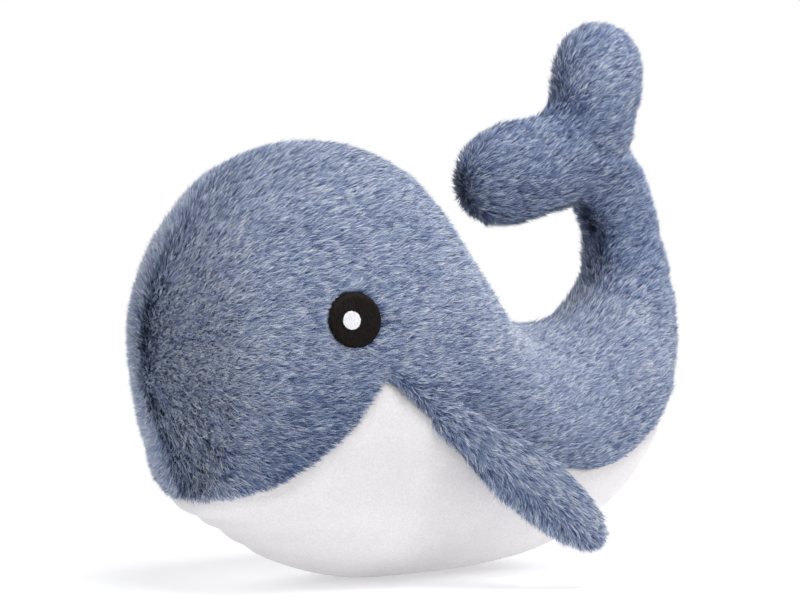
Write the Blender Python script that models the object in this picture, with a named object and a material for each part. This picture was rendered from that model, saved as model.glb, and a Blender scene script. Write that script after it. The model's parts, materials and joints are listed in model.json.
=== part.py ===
"""Plush whale: a stuffed toy sewn from two plush side panels and a velour belly, with two fins and a forked tail.

Metres, +Z up, nose towards -X and the whale's left side towards -Y. The whale rests on its belly and its tail
curls up. The side panels meet down the middle, and the outline of the tail and its two fluke lobes is cut in
their plane. Where the stuffed toy bends (tail, fork, lobes, fins) the cover and the stuffing are parted along a
plane, and the moving side is cut back to a roof whose ridge lies on the hinge line, so that it can tip both ways.
"""

import math
from functools import partial

import bmesh
import bpy
import numpy as np
from mathutils import Matrix, Vector
from mathutils.bvhtree import BVHTree

# Body
body_length = 0.250
head_height = 0.180
body_width = 0.122
rest_flat_depth = 0.0005
plush_depth = 0.004
seam_gap = 0.0003

# Tail, from the middle of its root to the fork
tail_rise = 0.067
tail_width = 0.036
tail_thickness = 0.0255

# Fluke lobes, from the fork to the tip
front_fluke_length = 0.066
top_fluke_length = 0.058
fluke_width = 0.045
fluke_thickness = 0.0255
front_fluke_angle = 190.0
top_fluke_angle = 80.0

# Fins, from the hinge to the tip
fin_length = 0.084
fin_width = 0.029
fin_thickness = 0.013
fin_cloth_depth = 0.003
fin_droop = 37.0
fin_splay = 13.0
fin_root_setback = 0.1040
fin_root_height = 0.0705

# Eyes, embroidered through the plush
eye_diameter = 0.0215
highlight_diameter = 0.0074
eye_setback = 0.0635
eye_height = 0.1090
eye_thickness = 0.0020
highlight_thickness = 0.0008
highlight_crown = 0.0003

# Travel of each soft hinge in degrees, below and above rest
tail_curl_travel = (8.0, 15.0)
tail_wag_travel = (18.0, 18.0)
fluke_travel = (15.0, 15.0)
fin_travel = (5.0, 60.0)
travel_spare = 1.5
fin_front_lean = 115.0

# How far every cutter passes beyond what it cuts
overrun = 0.060

# Sections of the body: x and z of the upper point, x and z of the lower point, half width.
# x is a share of body_length, z of head_height, the half width of half the body_width.
body_section_shares = [
    (0.000, 0.470, 0.000, 0.470, 0.000),
    (0.004, 0.639, 0.028, 0.332, 0.330),
    (0.032, 0.748, 0.049, 0.242, 0.565),
    (0.076, 0.847, 0.072, 0.183, 0.740),
    (0.144, 0.944, 0.136, 0.122, 0.870),
    (0.244, 0.998, 0.236, 0.042, 0.965),
    (0.352, 0.992, 0.352, -0.001, 1.000),
    (0.443, 0.928, 0.480, -0.001, 1.000),
    (0.506, 0.802, 0.600, 0.010, 0.970),
    (0.572, 0.656, 0.716, 0.044, 0.890),
    (0.652, 0.580, 0.830, 0.124, 0.765),
    (0.750, 0.570, 0.914, 0.230, 0.615),
    (0.814, 0.618, 0.967, 0.350, 0.485),
    (0.837, 0.687, 1.000, 0.480, 0.370),
]
# Sections of the tail, from its root: x and z of the middle as shares of tail_rise, width and thickness as
# shares of tail_width and tail_thickness, and the tilt of the section in degrees.
tail_section_shares = [
    (-0.007, 0.239, 1.250, 1.360, -22.0),
    (-0.052, 0.463, 1.030, 1.120, -6.0),
    (-0.113, 0.657, 1.030, 1.000, 5.0),
    (-0.190, 0.836, 1.030, 0.960, 12.0),
    (-0.330, 1.000, 1.100, 0.920, 25.0),
]
# Sections of a fluke lobe: place along its length, half width and half thickness.
fluke_section_shares = [
    (-0.060, 0.920, 0.860),
    (0.160, 1.000, 1.000),
    (0.380, 1.000, 1.000),
    (0.620, 0.960, 0.960),
    (0.790, 0.820, 0.820),
    (0.900, 0.620, 0.620),
    (0.970, 0.360, 0.380),
    (1.000, 0.000, 0.000),
]
fluke_hinge_share = 0.48
# Sections of a fin: place along its length, half width and half thickness.
fin_section_shares = [
    (-0.140, 0.380, 0.700),
    (0.000, 0.440, 0.800),
    (0.160, 0.600, 0.950),
    (0.360, 0.880, 1.000),
    (0.570, 1.000, 1.000),
    (0.760, 0.940, 0.920),
    (0.890, 0.740, 0.760),
    (0.970, 0.420, 0.460),
    (1.000, 0.000, 0.000),
]
# The seam between side panels and belly, seen from the side, as shares of body_length and head_height.
belly_seam_shares = [
    (0.018, 0.178),
    (0.064, 0.207),
    (0.122, 0.234),
    (0.181, 0.284),
    (0.249, 0.375),
    (0.291, 0.458),
    (0.307, 0.490),
    (0.346, 0.452),
    (0.400, 0.394),
    (0.455, 0.342),
    (0.535, 0.296),
    (0.630, 0.266),
    (0.720, 0.246),
    (0.800, 0.262),
    (0.872, 0.304),
    (0.935, 0.344),
    (1.030, 0.400),
]

around_body = 24
around_limb = 12
around_eye = 24
section_fullness = 2.2
steps_between = 2

curl_section = len(body_section_shares) - 1
wag_section = curl_section + 2
last_section = curl_section + len(tail_section_shares)

plush_blue = (0.200, 0.262, 0.405, 1.0)
velour_white = (0.800, 0.800, 0.810, 1.0)
stuffing_white = (0.760, 0.760, 0.740, 1.0)
thread_black = (0.009, 0.008, 0.008, 1.0)
thread_white = (0.790, 0.780, 0.795, 1.0)


def clear_scene():
    for old in list(bpy.data.objects):
        bpy.data.objects.remove(old)
    for unused in [m for m in bpy.data.meshes if m.users == 0]:
        bpy.data.meshes.remove(unused)


def collection(name):
    made = bpy.data.collections.get(name) or bpy.data.collections.new(name)
    if made.name not in bpy.context.scene.collection.children:
        bpy.context.scene.collection.children.link(made)
    return made


def material(name, colour, roughness):
    made = bpy.data.materials.get(name) or bpy.data.materials.new(name)
    made.use_nodes = True
    shader = made.node_tree.nodes["Principled BSDF"]
    shader.inputs["Base Color"].default_value = colour
    shader.inputs["Roughness"].default_value = roughness
    shader.inputs["Metallic"].default_value = 0.0
    made.diffuse_color = colour
    return made


def guide(name, mesh):
    """A cutter or guide shape, in its own collection and never part of the toy."""
    made = bpy.data.objects.new(name, mesh)
    collection("cutters").objects.link(made)
    made.hide_render = True
    made.display_type = "WIRE"
    return made


def piece(name, mesh, finish, parent):
    """A piece of the toy, whose mesh is placed in the whole toy's frame."""
    made = bpy.data.objects.new(name, mesh)
    collection("plush_whale").objects.link(made)
    made.data.materials.append(finish)
    made.data.shade_smooth()
    made.data.set_sharp_from_angle(angle=math.radians(50))
    made.parent = parent
    made.matrix_parent_inverse = parent.matrix_world.inverted()
    return made


def anchor(name, place, turn=None, parent=None):
    """An empty on a joint's axis: its own Z axis is the hinge line."""
    made = bpy.data.objects.new(name, None)
    collection("plush_whale").objects.link(made)
    rotation = turn.to_4x4() if turn else Matrix.Identity(4)
    if parent:
        made.parent = parent
        made.matrix_parent_inverse = parent.matrix_world.inverted()
    made.matrix_world = Matrix.Translation(place) @ rotation
    bpy.context.view_layer.update()
    return made


def cut(target, tool, operation="DIFFERENCE"):
    step = target.modifiers.new(f"{operation.lower()} {tool.name}", "BOOLEAN")
    step.operation = operation
    step.solver = "EXACT"
    step.object = tool


def frame_of(normal, axis):
    """A turn whose Z is the axis and whose Y is the normal, made square to it."""
    third = axis.normalized()
    second = (normal - normal.dot(third) * third).normalized()
    first = second.cross(third)
    return Matrix((first, second, third)).transposed()


def body_sections():
    """Upper point, lower point and half width of each section, nose to fork, in metres."""
    shares = np.array(body_section_shares)
    scale = np.array([body_length, head_height])
    upper = shares[:, 0:2] * scale
    lower = shares[:, 2:4] * scale
    half = shares[:, 4] * body_width / 2
    root = (upper[-1] + lower[-1]) / 2
    tail = np.array(tail_section_shares)
    middle = root + tail[:, 0:2] * tail_rise
    tilt = np.radians(tail[:, 4])
    out = np.stack([np.cos(tilt), np.sin(tilt)], 1) * (tail[:, 2:3] * tail_width / 2)
    upper = np.vstack([upper, middle - out])
    lower = np.vstack([lower, middle + out])
    half = np.concatenate([half, tail[:, 3] * tail_thickness / 2])
    upper[:, 1] -= rest_flat_depth
    lower[:, 1] -= rest_flat_depth
    return upper, lower, half


def through(points, steps, before, after):
    """A Catmull-Rom curve through the points, with one extra point before and after them."""
    padded = np.vstack([before, points, after])
    curve = []
    for i in range(len(points) - 1):
        a, b, c, d = padded[i : i + 4]
        for t in np.arange(steps) / steps:
            bend = 2 * a - 5 * b + 4 * c - d
            twist = 3 * b - a - 3 * c + d
            curve.append((2 * b + (c - a) * t + bend * t**2 + twist * t**3) / 2)
    return np.array(curve + [points[-1]])


def rings_from(centres, outs, half_outs, ups, half_ups, around, fullness):
    """Closed rings of superellipse outline: one row per section, one column per step round it.

    The steps go from outs to ups. Faces point outwards where outs, ups and the way along are a right-handed set.
    """
    # Half a step round, so that the middle plane meets edges and not points.
    angle = (np.arange(around) + 0.5) * 2 * math.pi / around
    power = 2 / fullness
    along_out = np.sign(np.cos(angle)) * np.abs(np.cos(angle)) ** power
    along_up = np.sign(np.sin(angle)) * np.abs(np.sin(angle)) ** power
    out_part = (half_outs[:, None] * along_out)[:, :, None] * outs[:, None, :]
    up_part = (half_ups[:, None] * along_up)[:, :, None] * ups[:, None, :]
    return centres[:, None, :] + out_part + up_part


def under(rings, depth):
    """The rings moved under the surface that they draw, square to it, by the given depth."""
    around = np.roll(rings, -1, axis=1) - np.roll(rings, 1, axis=1)
    normals = np.cross(around, np.gradient(rings, axis=0))
    size = np.linalg.norm(normals, axis=2, keepdims=True)
    normals /= np.where(size > 0, size, 1.0)
    at_point = size.max(axis=1)[:, 0] == 0
    tipward = rings[0, 0] - rings[1].mean(axis=0)
    normals[at_point] = tipward / np.linalg.norm(tipward)
    return rings - normals * depth


def loft(name, rings, start_closes, end_closes):
    """A closed mesh through the rings. An end that closes is a ring of no size, drawn as one point.

    Each four-sided space is split along the same diagonal, so that a deeper copy stays evenly clear of this one.
    """
    shell = bmesh.new()
    rows = []
    for i, ring in enumerate(rings):
        is_point = (i == 0 and start_closes) or (i == len(rings) - 1 and end_closes)
        places = ring[:1] if is_point else ring
        rows.append([shell.verts.new(place) for place in places])
    for low, high in zip(rows, rows[1:]):
        count = max(len(low), len(high))
        for i in range(count):
            j = (i + 1) % count
            if len(low) > 1:
                shell.faces.new([low[i], low[j], high[j % len(high)]])
            if len(high) > 1:
                shell.faces.new([low[i % len(low)], high[j], high[i]])
    if not start_closes:
        shell.faces.new(reversed(rows[0]))
    if not end_closes:
        shell.faces.new(rows[-1])
    mesh = bpy.data.meshes.new(name)
    shell.to_mesh(mesh)
    shell.free()
    return mesh


def body_form(name, first, last, depth=0.0):
    """The swelling body between two of its sections, at the given depth under its surface.

    The nose, section 0, closes in a round end.
    """
    upper, lower, half = body_sections()
    values = np.column_stack([upper, lower, half])
    mirrored_nose = np.concatenate([lower[1], upper[1], [-half[1]]])
    beyond_fork = 2 * values[-1] - values[-2]
    fine = through(values, steps_between, mirrored_nose, beyond_fork)
    fine = fine[first * steps_between : last * steps_between + 1]
    top = np.insert(fine[:, 0:2], 1, 0.0, axis=1)
    bottom = np.insert(fine[:, 2:4], 1, 0.0, axis=1)
    size = np.linalg.norm(top - bottom, axis=1)
    ups = (top - bottom) / np.where(size > 0, size, 1.0)[:, None]
    outs = np.tile([0.0, 1.0, 0.0], (len(fine), 1))
    rings = rings_from((top + bottom) / 2, outs, fine[:, 4], ups, size / 2, around_body, section_fullness)
    return loft(name, under(rings, depth), first == 0, False)


def limb_form(name, shares, place, turn, size, depth=0.0):
    """A swelling limb along the turn's X axis, wide along its Z axis and thick along its Y axis.

    Its surface lies deeper than the limb's own by the given depth.
    """
    length, half_width, half_thickness = size[0] - depth, size[1] / 2 - depth, size[2] / 2 - depth
    table = np.array(shares)
    along = table[:, 0:1] * [length, 0.0, 0.0]
    outs = np.tile([0.0, 1.0, 0.0], (len(table), 1))
    ups = np.tile([0.0, 0.0, 1.0], (len(table), 1))
    thick, wide = table[:, 2] * half_thickness, table[:, 1] * half_width
    rings = rings_from(along, outs, thick, ups, wide, around_limb, section_fullness)
    world = rings @ np.array(turn.transposed()) + np.array(place)
    return loft(name, world, False, True)


def prism(name, outline, place, turn, reach):
    """A flat outline in the turn's X and Y, drawn through to the given reach both ways along its Z."""
    curve = bpy.data.curves.new(name, "CURVE")
    curve.dimensions = "2D"
    curve.fill_mode = "BOTH"
    curve.extrude = reach
    line = curve.splines.new("POLY")
    line.points.add(len(outline) - 1)
    for point, (x, y) in zip(line.points, outline):
        point.co = (x, y, 0.0, 1.0)
    line.use_cyclic_u = True
    drawn = bpy.data.objects.new(name, curve)
    collection("cutters").objects.link(drawn)
    seen = drawn.evaluated_get(bpy.context.evaluated_depsgraph_get())
    mesh = bpy.data.meshes.new_from_object(seen)
    bpy.data.objects.remove(drawn)
    welded = bmesh.new()
    welded.from_mesh(mesh)
    bmesh.ops.remove_doubles(welded, verts=welded.verts, dist=seam_gap / 10)
    bmesh.ops.transform(welded, matrix=Matrix.Translation(place) @ turn.to_4x4(), verts=welded.verts)
    bmesh.ops.recalc_face_normals(welded, faces=welded.faces)
    welded.to_mesh(mesh)
    welded.free()
    return guide(name, mesh)


def block(name, size, place):
    """A box cutter whose sides follow the toy's axes."""
    mesh = bpy.data.meshes.new(name)
    box = bmesh.new()
    bmesh.ops.create_cube(box, size=1.0)
    bmesh.ops.scale(box, vec=size, verts=box.verts)
    bmesh.ops.translate(box, vec=place, verts=box.verts)
    box.to_mesh(mesh)
    box.free()
    return guide(name, mesh)


def half_spaces():
    """What lies left of the middle plane, and right of it, each half a seam gap clear of it."""
    half_space_depth = body_length + overrun
    offset = (half_space_depth + seam_gap) / 2
    size = (2 * half_space_depth, half_space_depth, 2 * half_space_depth)
    left = block("left half", size, (0.0, -offset, 0.0))
    right = block("right half", size, (0.0, offset, 0.0))
    return {"left": left, "right": right}


def hinge_cutters(name, place, turn, travel):
    """Two cutters for a soft hinge on the turn's Z axis, whose limb points along the turn's Y axis.

    The first leaves the fixed side flat. The second leaves the moving side as a roof, whose ridge is on the
    hinge line and whose slopes give it the room to tip both ways.
    """
    half_gap = seam_gap / 2
    slope_back, slope_front = (math.tan(math.radians(angle + travel_spare)) for angle in travel)
    fixed_side = [
        (-overrun, -half_gap),
        (overrun, -half_gap),
        (overrun, overrun),
        (-overrun, overrun),
    ]
    moving_side = [
        (-overrun, -overrun),
        (overrun, -overrun),
        (overrun, half_gap + overrun * slope_front),
        (0.0, half_gap),
        (-overrun, half_gap + overrun * slope_back),
    ]
    beyond = prism(f"{name} beyond", fixed_side, place, turn, overrun)
    before = prism(f"{name} before", moving_side, place, turn, overrun)
    return beyond, before


def cover_and_stuffing(prefix, forms, depth, cutters, parent, halves, finishes):
    """The two cover panels and the stuffing of a limb made of one form or of several that run together.

    Each form is a function that makes its mesh at a given depth under the limb's surface.
    """
    blue, stuffing = finishes
    for side, half in halves.items():
        panel = piece(f"{prefix}_{side}_panel", forms[0](0.0), blue, parent)
        for form in forms[1:]:
            cut(panel, guide(f"{panel.name} joins", form(0.0)), "UNION")
        for form in forms:
            cut(panel, guide(f"{panel.name} hollow", form(depth)))
        for tool in cutters:
            cut(panel, tool)
        cut(panel, half, "INTERSECT")
    filling = piece(f"{prefix}_filling", forms[0](depth + seam_gap), stuffing, parent)
    for form in forms[1:]:
        cut(filling, guide(f"{filling.name} joins", form(depth + seam_gap)), "UNION")
    for tool in cutters:
        cut(filling, tool)


def belly_outline(drop):
    """The belly panel seen from the side, its seam lowered by the given drop, closed below the toy."""
    scale = np.array([body_length, head_height])
    seam = np.array(belly_seam_shares) * scale - np.array([0.0, rest_flat_depth])
    peak = int(seam[:, 1].argmax())
    rise, fall = seam[: peak + 1], seam[peak:]
    front = through(rise, steps_between, 2 * rise[0] - rise[1], 2 * rise[-1] - rise[-2])
    back = through(fall, steps_between, 2 * fall[0] - fall[1], 2 * fall[-1] - fall[-2])
    line = np.vstack([front, back[1:]])
    slope = np.gradient(line, axis=0)
    normal = np.stack([slope[:, 1], -slope[:, 0]], 1) / np.linalg.norm(slope, axis=1)[:, None]
    line = line + normal * drop
    corners = [(line[-1, 0], -overrun), (line[0, 0], -overrun)]
    return [tuple(point) for point in line] + corners


def surface_point(mesh, x, z):
    """Where a line seen from the left side meets the body, and the body's normal there."""
    shape = bmesh.new()
    shape.from_mesh(mesh)
    tree = BVHTree.FromBMesh(shape)
    place, normal, _, _ = tree.ray_cast(Vector((x, -body_width, z)), Vector((0.0, 1.0, 0.0)))
    shape.free()
    return place, normal


def eye_rod(name, diameter, side):
    """A cylinder across one side of the body at the place of the eye."""
    mesh = bpy.data.meshes.new(name)
    rod = bmesh.new()
    bmesh.ops.create_cone(
        rod,
        cap_ends=True,
        segments=around_eye,
        radius1=diameter / 2,
        radius2=diameter / 2,
        depth=body_width,
        matrix=Matrix.Translation((eye_setback, side * body_width / 2, eye_height))
        @ Matrix.Rotation(math.radians(90), 4, "X"),
    )
    rod.to_mesh(mesh)
    rod.free()
    return mesh


def keep_layer(made, outer, inner):
    """Keeps what lies under the outer surface and over the inner one."""
    cut(made, outer, "INTERSECT")
    cut(made, inner)


def eye(side_name, side, panel, root, black, white):
    """An embroidered eye in a pocket of the plush, with its highlight in a pocket of the black."""

    def surface(label, depth):
        name = f"{side_name} {label}"
        return guide(name, body_form(name, 0, curl_section + 1, depth))

    skin = surface("eye face", 0.0)
    proud = surface("highlight face", -highlight_crown)
    outside = surface("eye pocket mouth", -plush_depth)
    patch_floor = surface("eye floor", eye_thickness)
    panel_floor = surface("eye pocket floor", eye_thickness + seam_gap)
    light_floor = surface("highlight floor", highlight_thickness)
    patch_pocket_floor = surface("highlight pocket floor", highlight_thickness + seam_gap)

    pocket_name = f"{side_name} eye pocket"
    pocket = guide(pocket_name, eye_rod(pocket_name, eye_diameter + 2 * seam_gap, side))
    keep_layer(pocket, outside, panel_floor)
    cut(panel, pocket)

    hollow_name = f"{side_name} highlight pocket"
    hollow = guide(hollow_name, eye_rod(hollow_name, highlight_diameter + 2 * seam_gap, side))
    keep_layer(hollow, outside, patch_pocket_floor)

    patch_name = f"{side_name}_eye_patch"
    patch = piece(patch_name, eye_rod(patch_name, eye_diameter, side), black, root)
    keep_layer(patch, skin, patch_floor)
    cut(patch, hollow)

    light_name = f"{side_name}_eye_highlight"
    light = piece(light_name, eye_rod(light_name, highlight_diameter, side), white, root)
    keep_layer(light, proud, light_floor)


def build_body(root, halves, finishes):
    """Side panels, belly panel, stuffing and eyes, all on the toy's root."""
    blue, velour, stuffing, black, white = finishes
    whole = body_form("body form", 0, curl_section + 1)
    curl_place, curl_turn = curl_hinge()
    beyond_tail_root, _ = hinge_cutters("body end", curl_place, curl_turn, tail_curl_travel)
    hollow = guide("body hollow", body_form("body hollow", 0, curl_section + 1, plush_depth))
    flat_turn = Matrix.Rotation(math.radians(90), 3, "X")
    nowhere = (0.0, 0.0, 0.0)
    under_seam = prism("under the seam", belly_outline(-seam_gap / 2), nowhere, flat_turn, body_width)
    belly_part = prism("belly part", belly_outline(seam_gap / 2), nowhere, flat_turn, body_width)
    floor_size = (2 * body_length, 2 * body_width, overrun)
    floor = block("resting flat", floor_size, (0.0, 0.0, -overrun / 2))

    for side_name, side in (("left", -1), ("right", 1)):
        panel = piece(f"{side_name}_side_panel", whole.copy(), blue, root)
        cut(panel, hollow)
        cut(panel, under_seam)
        cut(panel, beyond_tail_root)
        cut(panel, halves[side_name], "INTERSECT")
        eye(side_name, side, panel, root, black, white)

    belly = piece("belly_panel", whole.copy(), velour, root)
    cut(belly, hollow)
    cut(belly, belly_part, "INTERSECT")
    cut(belly, floor)

    filling_form = body_form("body filling", 0, curl_section + 1, plush_depth + seam_gap)
    filling = piece("body_filling", filling_form, stuffing, root)
    cut(filling, beyond_tail_root)
    return whole


def section_hinge(index):
    """Middle of a body section, and a turn whose X points to its lower edge and whose Y points up the tail."""
    upper, lower, _ = body_sections()
    middle = (upper[index] + lower[index]) / 2
    across = Vector((lower[index][0] - upper[index][0], 0.0, lower[index][1] - upper[index][1])).normalized()
    onward = Vector((-across.z, 0.0, across.x))
    place = Vector((middle[0], 0.0, middle[1]))
    return place, across, onward


def curl_hinge():
    """The tail curls about a line across the body, through the middle of its root."""
    place, across, onward = section_hinge(curl_section)
    return place, Matrix((across, onward, across.cross(onward))).transposed()


def wag_hinge():
    """The fork wags from side to side about a line across the tail's profile, below the fork."""
    place, across, onward = section_hinge(wag_section)
    return place, frame_of(onward, across)


def fork_place():
    """The middle of the fork, where the lobes start."""
    upper, lower, _ = body_sections()
    middle = (upper[last_section] + lower[last_section]) / 2
    return Vector((middle[0], 0.0, middle[1]))


def fluke_frames(angle, length):
    """The lobe's own turn (X to its tip, Y across the toy), its hinge place and its hinge turn."""
    lean = math.radians(angle)
    tipward = Vector((math.cos(lean), 0.0, math.sin(lean)))
    across = Vector((0.0, 1.0, 0.0))
    wide = tipward.cross(across)
    own = Matrix((tipward, across, wide)).transposed()
    hinge_place = fork_place() + tipward * fluke_hinge_share * length
    return own, hinge_place, frame_of(tipward, wide)


def build_tail(root, halves, blue, stuffing):
    """The tail's stalk, the fork, and the two lobes, each on the body that carries it."""
    curl_place, curl_turn = curl_hinge()
    wag_place, wag_turn = wag_hinge()
    _, before_tail = hinge_cutters("tail root", curl_place, curl_turn, tail_curl_travel)
    beyond_tail, before_fork = hinge_cutters("tail neck", wag_place, wag_turn, tail_wag_travel)

    tail_anchor = anchor("tail_curl_axis", curl_place, curl_turn, root)
    finishes = (blue, stuffing)
    stalk = partial(body_form, "stalk form", curl_section - 1, wag_section + 1)
    stalk_cutters = (before_tail, beyond_tail)
    cover_and_stuffing("tail", [stalk], plush_depth, stalk_cutters, tail_anchor, halves, finishes)

    fork_anchor = anchor("tail_wag_axis", wag_place, wag_turn, tail_anchor)
    fork_forms = [partial(body_form, "fork form", wag_section - 1, last_section)]
    fork_cutters = [before_fork]
    lobes = (("front_fluke", front_fluke_angle, front_fluke_length), ("top_fluke", top_fluke_angle, top_fluke_length))
    for lobe_name, angle, length in lobes:
        own, place, turn = fluke_frames(angle, length)
        size = (length, fluke_width, fluke_thickness)
        form = partial(limb_form, f"{lobe_name} form", fluke_section_shares, fork_place(), own, size)
        beyond, before = hinge_cutters(f"{lobe_name} root", place, turn, fluke_travel)
        lobe_anchor = anchor(f"{lobe_name}_axis", place, turn, fork_anchor)
        cover_and_stuffing(lobe_name, [form], plush_depth, (before,), lobe_anchor, halves, finishes)
        fork_forms.append(form)
        fork_cutters.append(beyond)
    cover_and_stuffing("fork", fork_forms, plush_depth, fork_cutters, fork_anchor, halves, finishes)


def fin_frames(whole_body, side):
    """The fin's own turn (X to its tip, Y out of its face) and its hinge: place, and turn with Z on the line."""
    place, normal = surface_point(whole_body, fin_root_setback, fin_root_height)
    droop, splay = math.radians(fin_droop), math.radians(fin_splay)
    level = math.cos(droop)
    tipward = Vector((level * math.cos(splay), -level * math.sin(splay), -math.sin(droop)))
    outward = Vector((0.0, -1.0, 0.0))
    outward = (outward - outward.dot(tipward) * tipward).normalized()
    hinge_line = tipward.cross(outward)
    hinge_line = (hinge_line - hinge_line.dot(normal) * normal).normalized()
    place = place + normal * seam_gap
    if side > 0:
        flip = Matrix.Diagonal((1.0, -1.0, 1.0))
        place, normal, tipward, outward = (flip @ v for v in (place, normal, tipward, outward))
        hinge_line = -(flip @ hinge_line)
    own = Matrix((tipward, outward, tipward.cross(outward))).transposed()
    return own, place, frame_of(normal, hinge_line), tipward


def build_fin(side_name, side, whole_body, root, blue, stuffing):
    """A fin: upper panel, under panel and stuffing, hinged where its neck is sewn into the side seam."""
    own, place, turn, tipward = fin_frames(whole_body, side)
    axis = anchor(f"{side_name}_fin_axis", place, turn, root)
    fin_size = (fin_length, fin_width, fin_thickness)
    form = partial(limb_form, f"{side_name} fin form", fin_section_shares, place, own, fin_size)
    back = math.copysign(1.0, (turn.transposed() @ tipward).x)
    low = math.radians(fin_travel[0])
    high = math.radians(fin_front_lean)
    reach = body_length
    towards_body = [
        (0.0, 0.0),
        (back * reach * math.cos(low), reach * math.sin(low)),
        (back * reach, -reach),
        (-back * reach, -reach),
        (-back * reach, reach),
        (back * reach * math.cos(high), reach * math.sin(high)),
    ]
    at_body = prism(f"{side_name} fin root", towards_body, place, turn, overrun)
    size = (2 * (fin_length + overrun), overrun, fin_width + overrun)
    for label, facing in (("upper", 1), ("under", -1)):
        region = block(f"{side_name} fin {label} half", size, (0.0, facing * (overrun + seam_gap) / 2, 0.0))
        region.data.transform(Matrix.Translation(place) @ own.to_4x4())
        panel = piece(f"{side_name}_fin_{label}_panel", form(0.0), blue, axis)
        cut(panel, guide(f"{panel.name} hollow", form(fin_cloth_depth)))
        cut(panel, region, "INTERSECT")
        cut(panel, at_body)
    filling = piece(f"{side_name}_fin_filling", form(fin_cloth_depth + seam_gap), stuffing, axis)
    cut(filling, at_body)


def centre_on_origin(root):
    """Moves the whole toy so that the origin is under the middle of its box."""
    bpy.context.view_layer.update()
    graph = bpy.context.evaluated_depsgraph_get()
    places = []
    for made in collection("plush_whale").objects:
        if made.type == "MESH":
            seen = made.evaluated_get(graph)
            places += [seen.matrix_world @ Vector(corner) for corner in seen.bound_box]
    middle = (min(p.x for p in places) + max(p.x for p in places)) / 2
    root.location.x -= middle
    for tool in collection("cutters").objects:
        tool.location.x -= middle
    bpy.context.view_layer.update()


def main():
    clear_scene()
    blue = material("denim blue plush", plush_blue, 0.95)
    velour = material("white velour", velour_white, 0.9)
    stuffing = material("polyester stuffing", stuffing_white, 1.0)
    black = material("black satin stitch", thread_black, 0.5)
    white = material("white satin stitch", thread_white, 0.5)
    root = anchor("plush_whale_root", (0.0, 0.0, 0.0))
    halves = half_spaces()
    whole_body = build_body(root, halves, (blue, velour, stuffing, black, white))
    build_tail(root, halves, blue, stuffing)
    for side_name, side in (("left", -1), ("right", 1)):
        build_fin(side_name, side, whole_body, root, blue, stuffing)
    centre_on_origin(root)
    for made in collection("plush_whale").objects:
        if made.type == "EMPTY":
            place = made.matrix_world.translation
            line = made.matrix_world.to_3x3().col[2]
            print(made.name, [round(v, 5) for v in place], [round(v, 4) for v in line])


main()
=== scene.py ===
# %% [markdown]
# # A plush whale, sewn, stuffed and furry
# The toy is two side panels of denim-blue plush and a belly panel of white velour, sewn round polyester
# stuffing. Its pile is about 6 mm long, a mix of pale and dark fibres, and it lies back from the nose.
# The lesson makes the cloth first, lets a cloth simulation fill it, and then plants the pile on it.

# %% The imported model, which is the fixed frame
import json
import math

import bmesh
import bpy
import numpy as np
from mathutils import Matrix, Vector


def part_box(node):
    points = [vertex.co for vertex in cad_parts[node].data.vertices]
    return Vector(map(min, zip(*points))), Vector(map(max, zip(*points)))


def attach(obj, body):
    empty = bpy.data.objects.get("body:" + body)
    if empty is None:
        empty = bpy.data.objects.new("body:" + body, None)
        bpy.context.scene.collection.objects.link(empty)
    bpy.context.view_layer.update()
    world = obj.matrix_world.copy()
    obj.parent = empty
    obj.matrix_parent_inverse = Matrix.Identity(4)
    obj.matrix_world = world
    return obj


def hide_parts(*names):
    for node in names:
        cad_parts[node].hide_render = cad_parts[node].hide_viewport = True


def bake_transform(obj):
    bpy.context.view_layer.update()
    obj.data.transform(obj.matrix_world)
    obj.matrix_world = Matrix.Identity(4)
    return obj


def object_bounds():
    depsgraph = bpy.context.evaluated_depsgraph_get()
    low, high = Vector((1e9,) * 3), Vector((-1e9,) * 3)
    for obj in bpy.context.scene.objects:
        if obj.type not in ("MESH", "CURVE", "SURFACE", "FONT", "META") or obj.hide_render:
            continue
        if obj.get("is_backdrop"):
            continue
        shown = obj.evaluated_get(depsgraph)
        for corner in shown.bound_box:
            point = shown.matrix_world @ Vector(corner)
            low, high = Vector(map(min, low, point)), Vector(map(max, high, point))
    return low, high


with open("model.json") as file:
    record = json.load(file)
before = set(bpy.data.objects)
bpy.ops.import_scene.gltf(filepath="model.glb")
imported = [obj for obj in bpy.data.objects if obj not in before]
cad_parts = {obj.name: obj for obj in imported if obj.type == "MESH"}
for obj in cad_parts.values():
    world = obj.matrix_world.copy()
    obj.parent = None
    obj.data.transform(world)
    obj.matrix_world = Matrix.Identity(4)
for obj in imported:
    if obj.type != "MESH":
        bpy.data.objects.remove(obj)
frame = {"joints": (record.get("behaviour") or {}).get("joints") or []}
cad_low, cad_high = (np.array(corner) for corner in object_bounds())
hinges = {joint["name"]: joint for joint in frame["joints"]}
MM = 0.001
print("CAD box in mm:", ((cad_high - cad_low) / MM).round(1))

# %% [markdown]
# ## Camera
# The photograph was taken with a long lens, a little above the floor and 30 degrees round towards the nose.
# A long lens far away keeps the near fin from looking too big, so the camera stands 1.2 m off.

# %% Camera
view_azimuth, view_elevation, view_distance = math.radians(-30), math.radians(3), 1.2
frame_width, sensor_width, lens = 800, 36.0, 131.4
# Where the middle of the toy's box lies in the frame, in pixels right of the middle and above it
offset_right, offset_up = 16.5, 4.7

level = math.cos(view_elevation)
towards_camera = np.array(
    [math.sin(view_azimuth) * level, -math.cos(view_azimuth) * level, math.sin(view_elevation)]
)
camera_right = np.array([math.cos(view_azimuth), math.sin(view_azimuth), 0.0])
camera_up = np.cross(towards_camera, camera_right)
middle = (cad_low + cad_high) / 2
metres_per_pixel = view_distance * sensor_width / (lens * frame_width)
target = middle - (camera_right * offset_right + camera_up * offset_up) * metres_per_pixel

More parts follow.
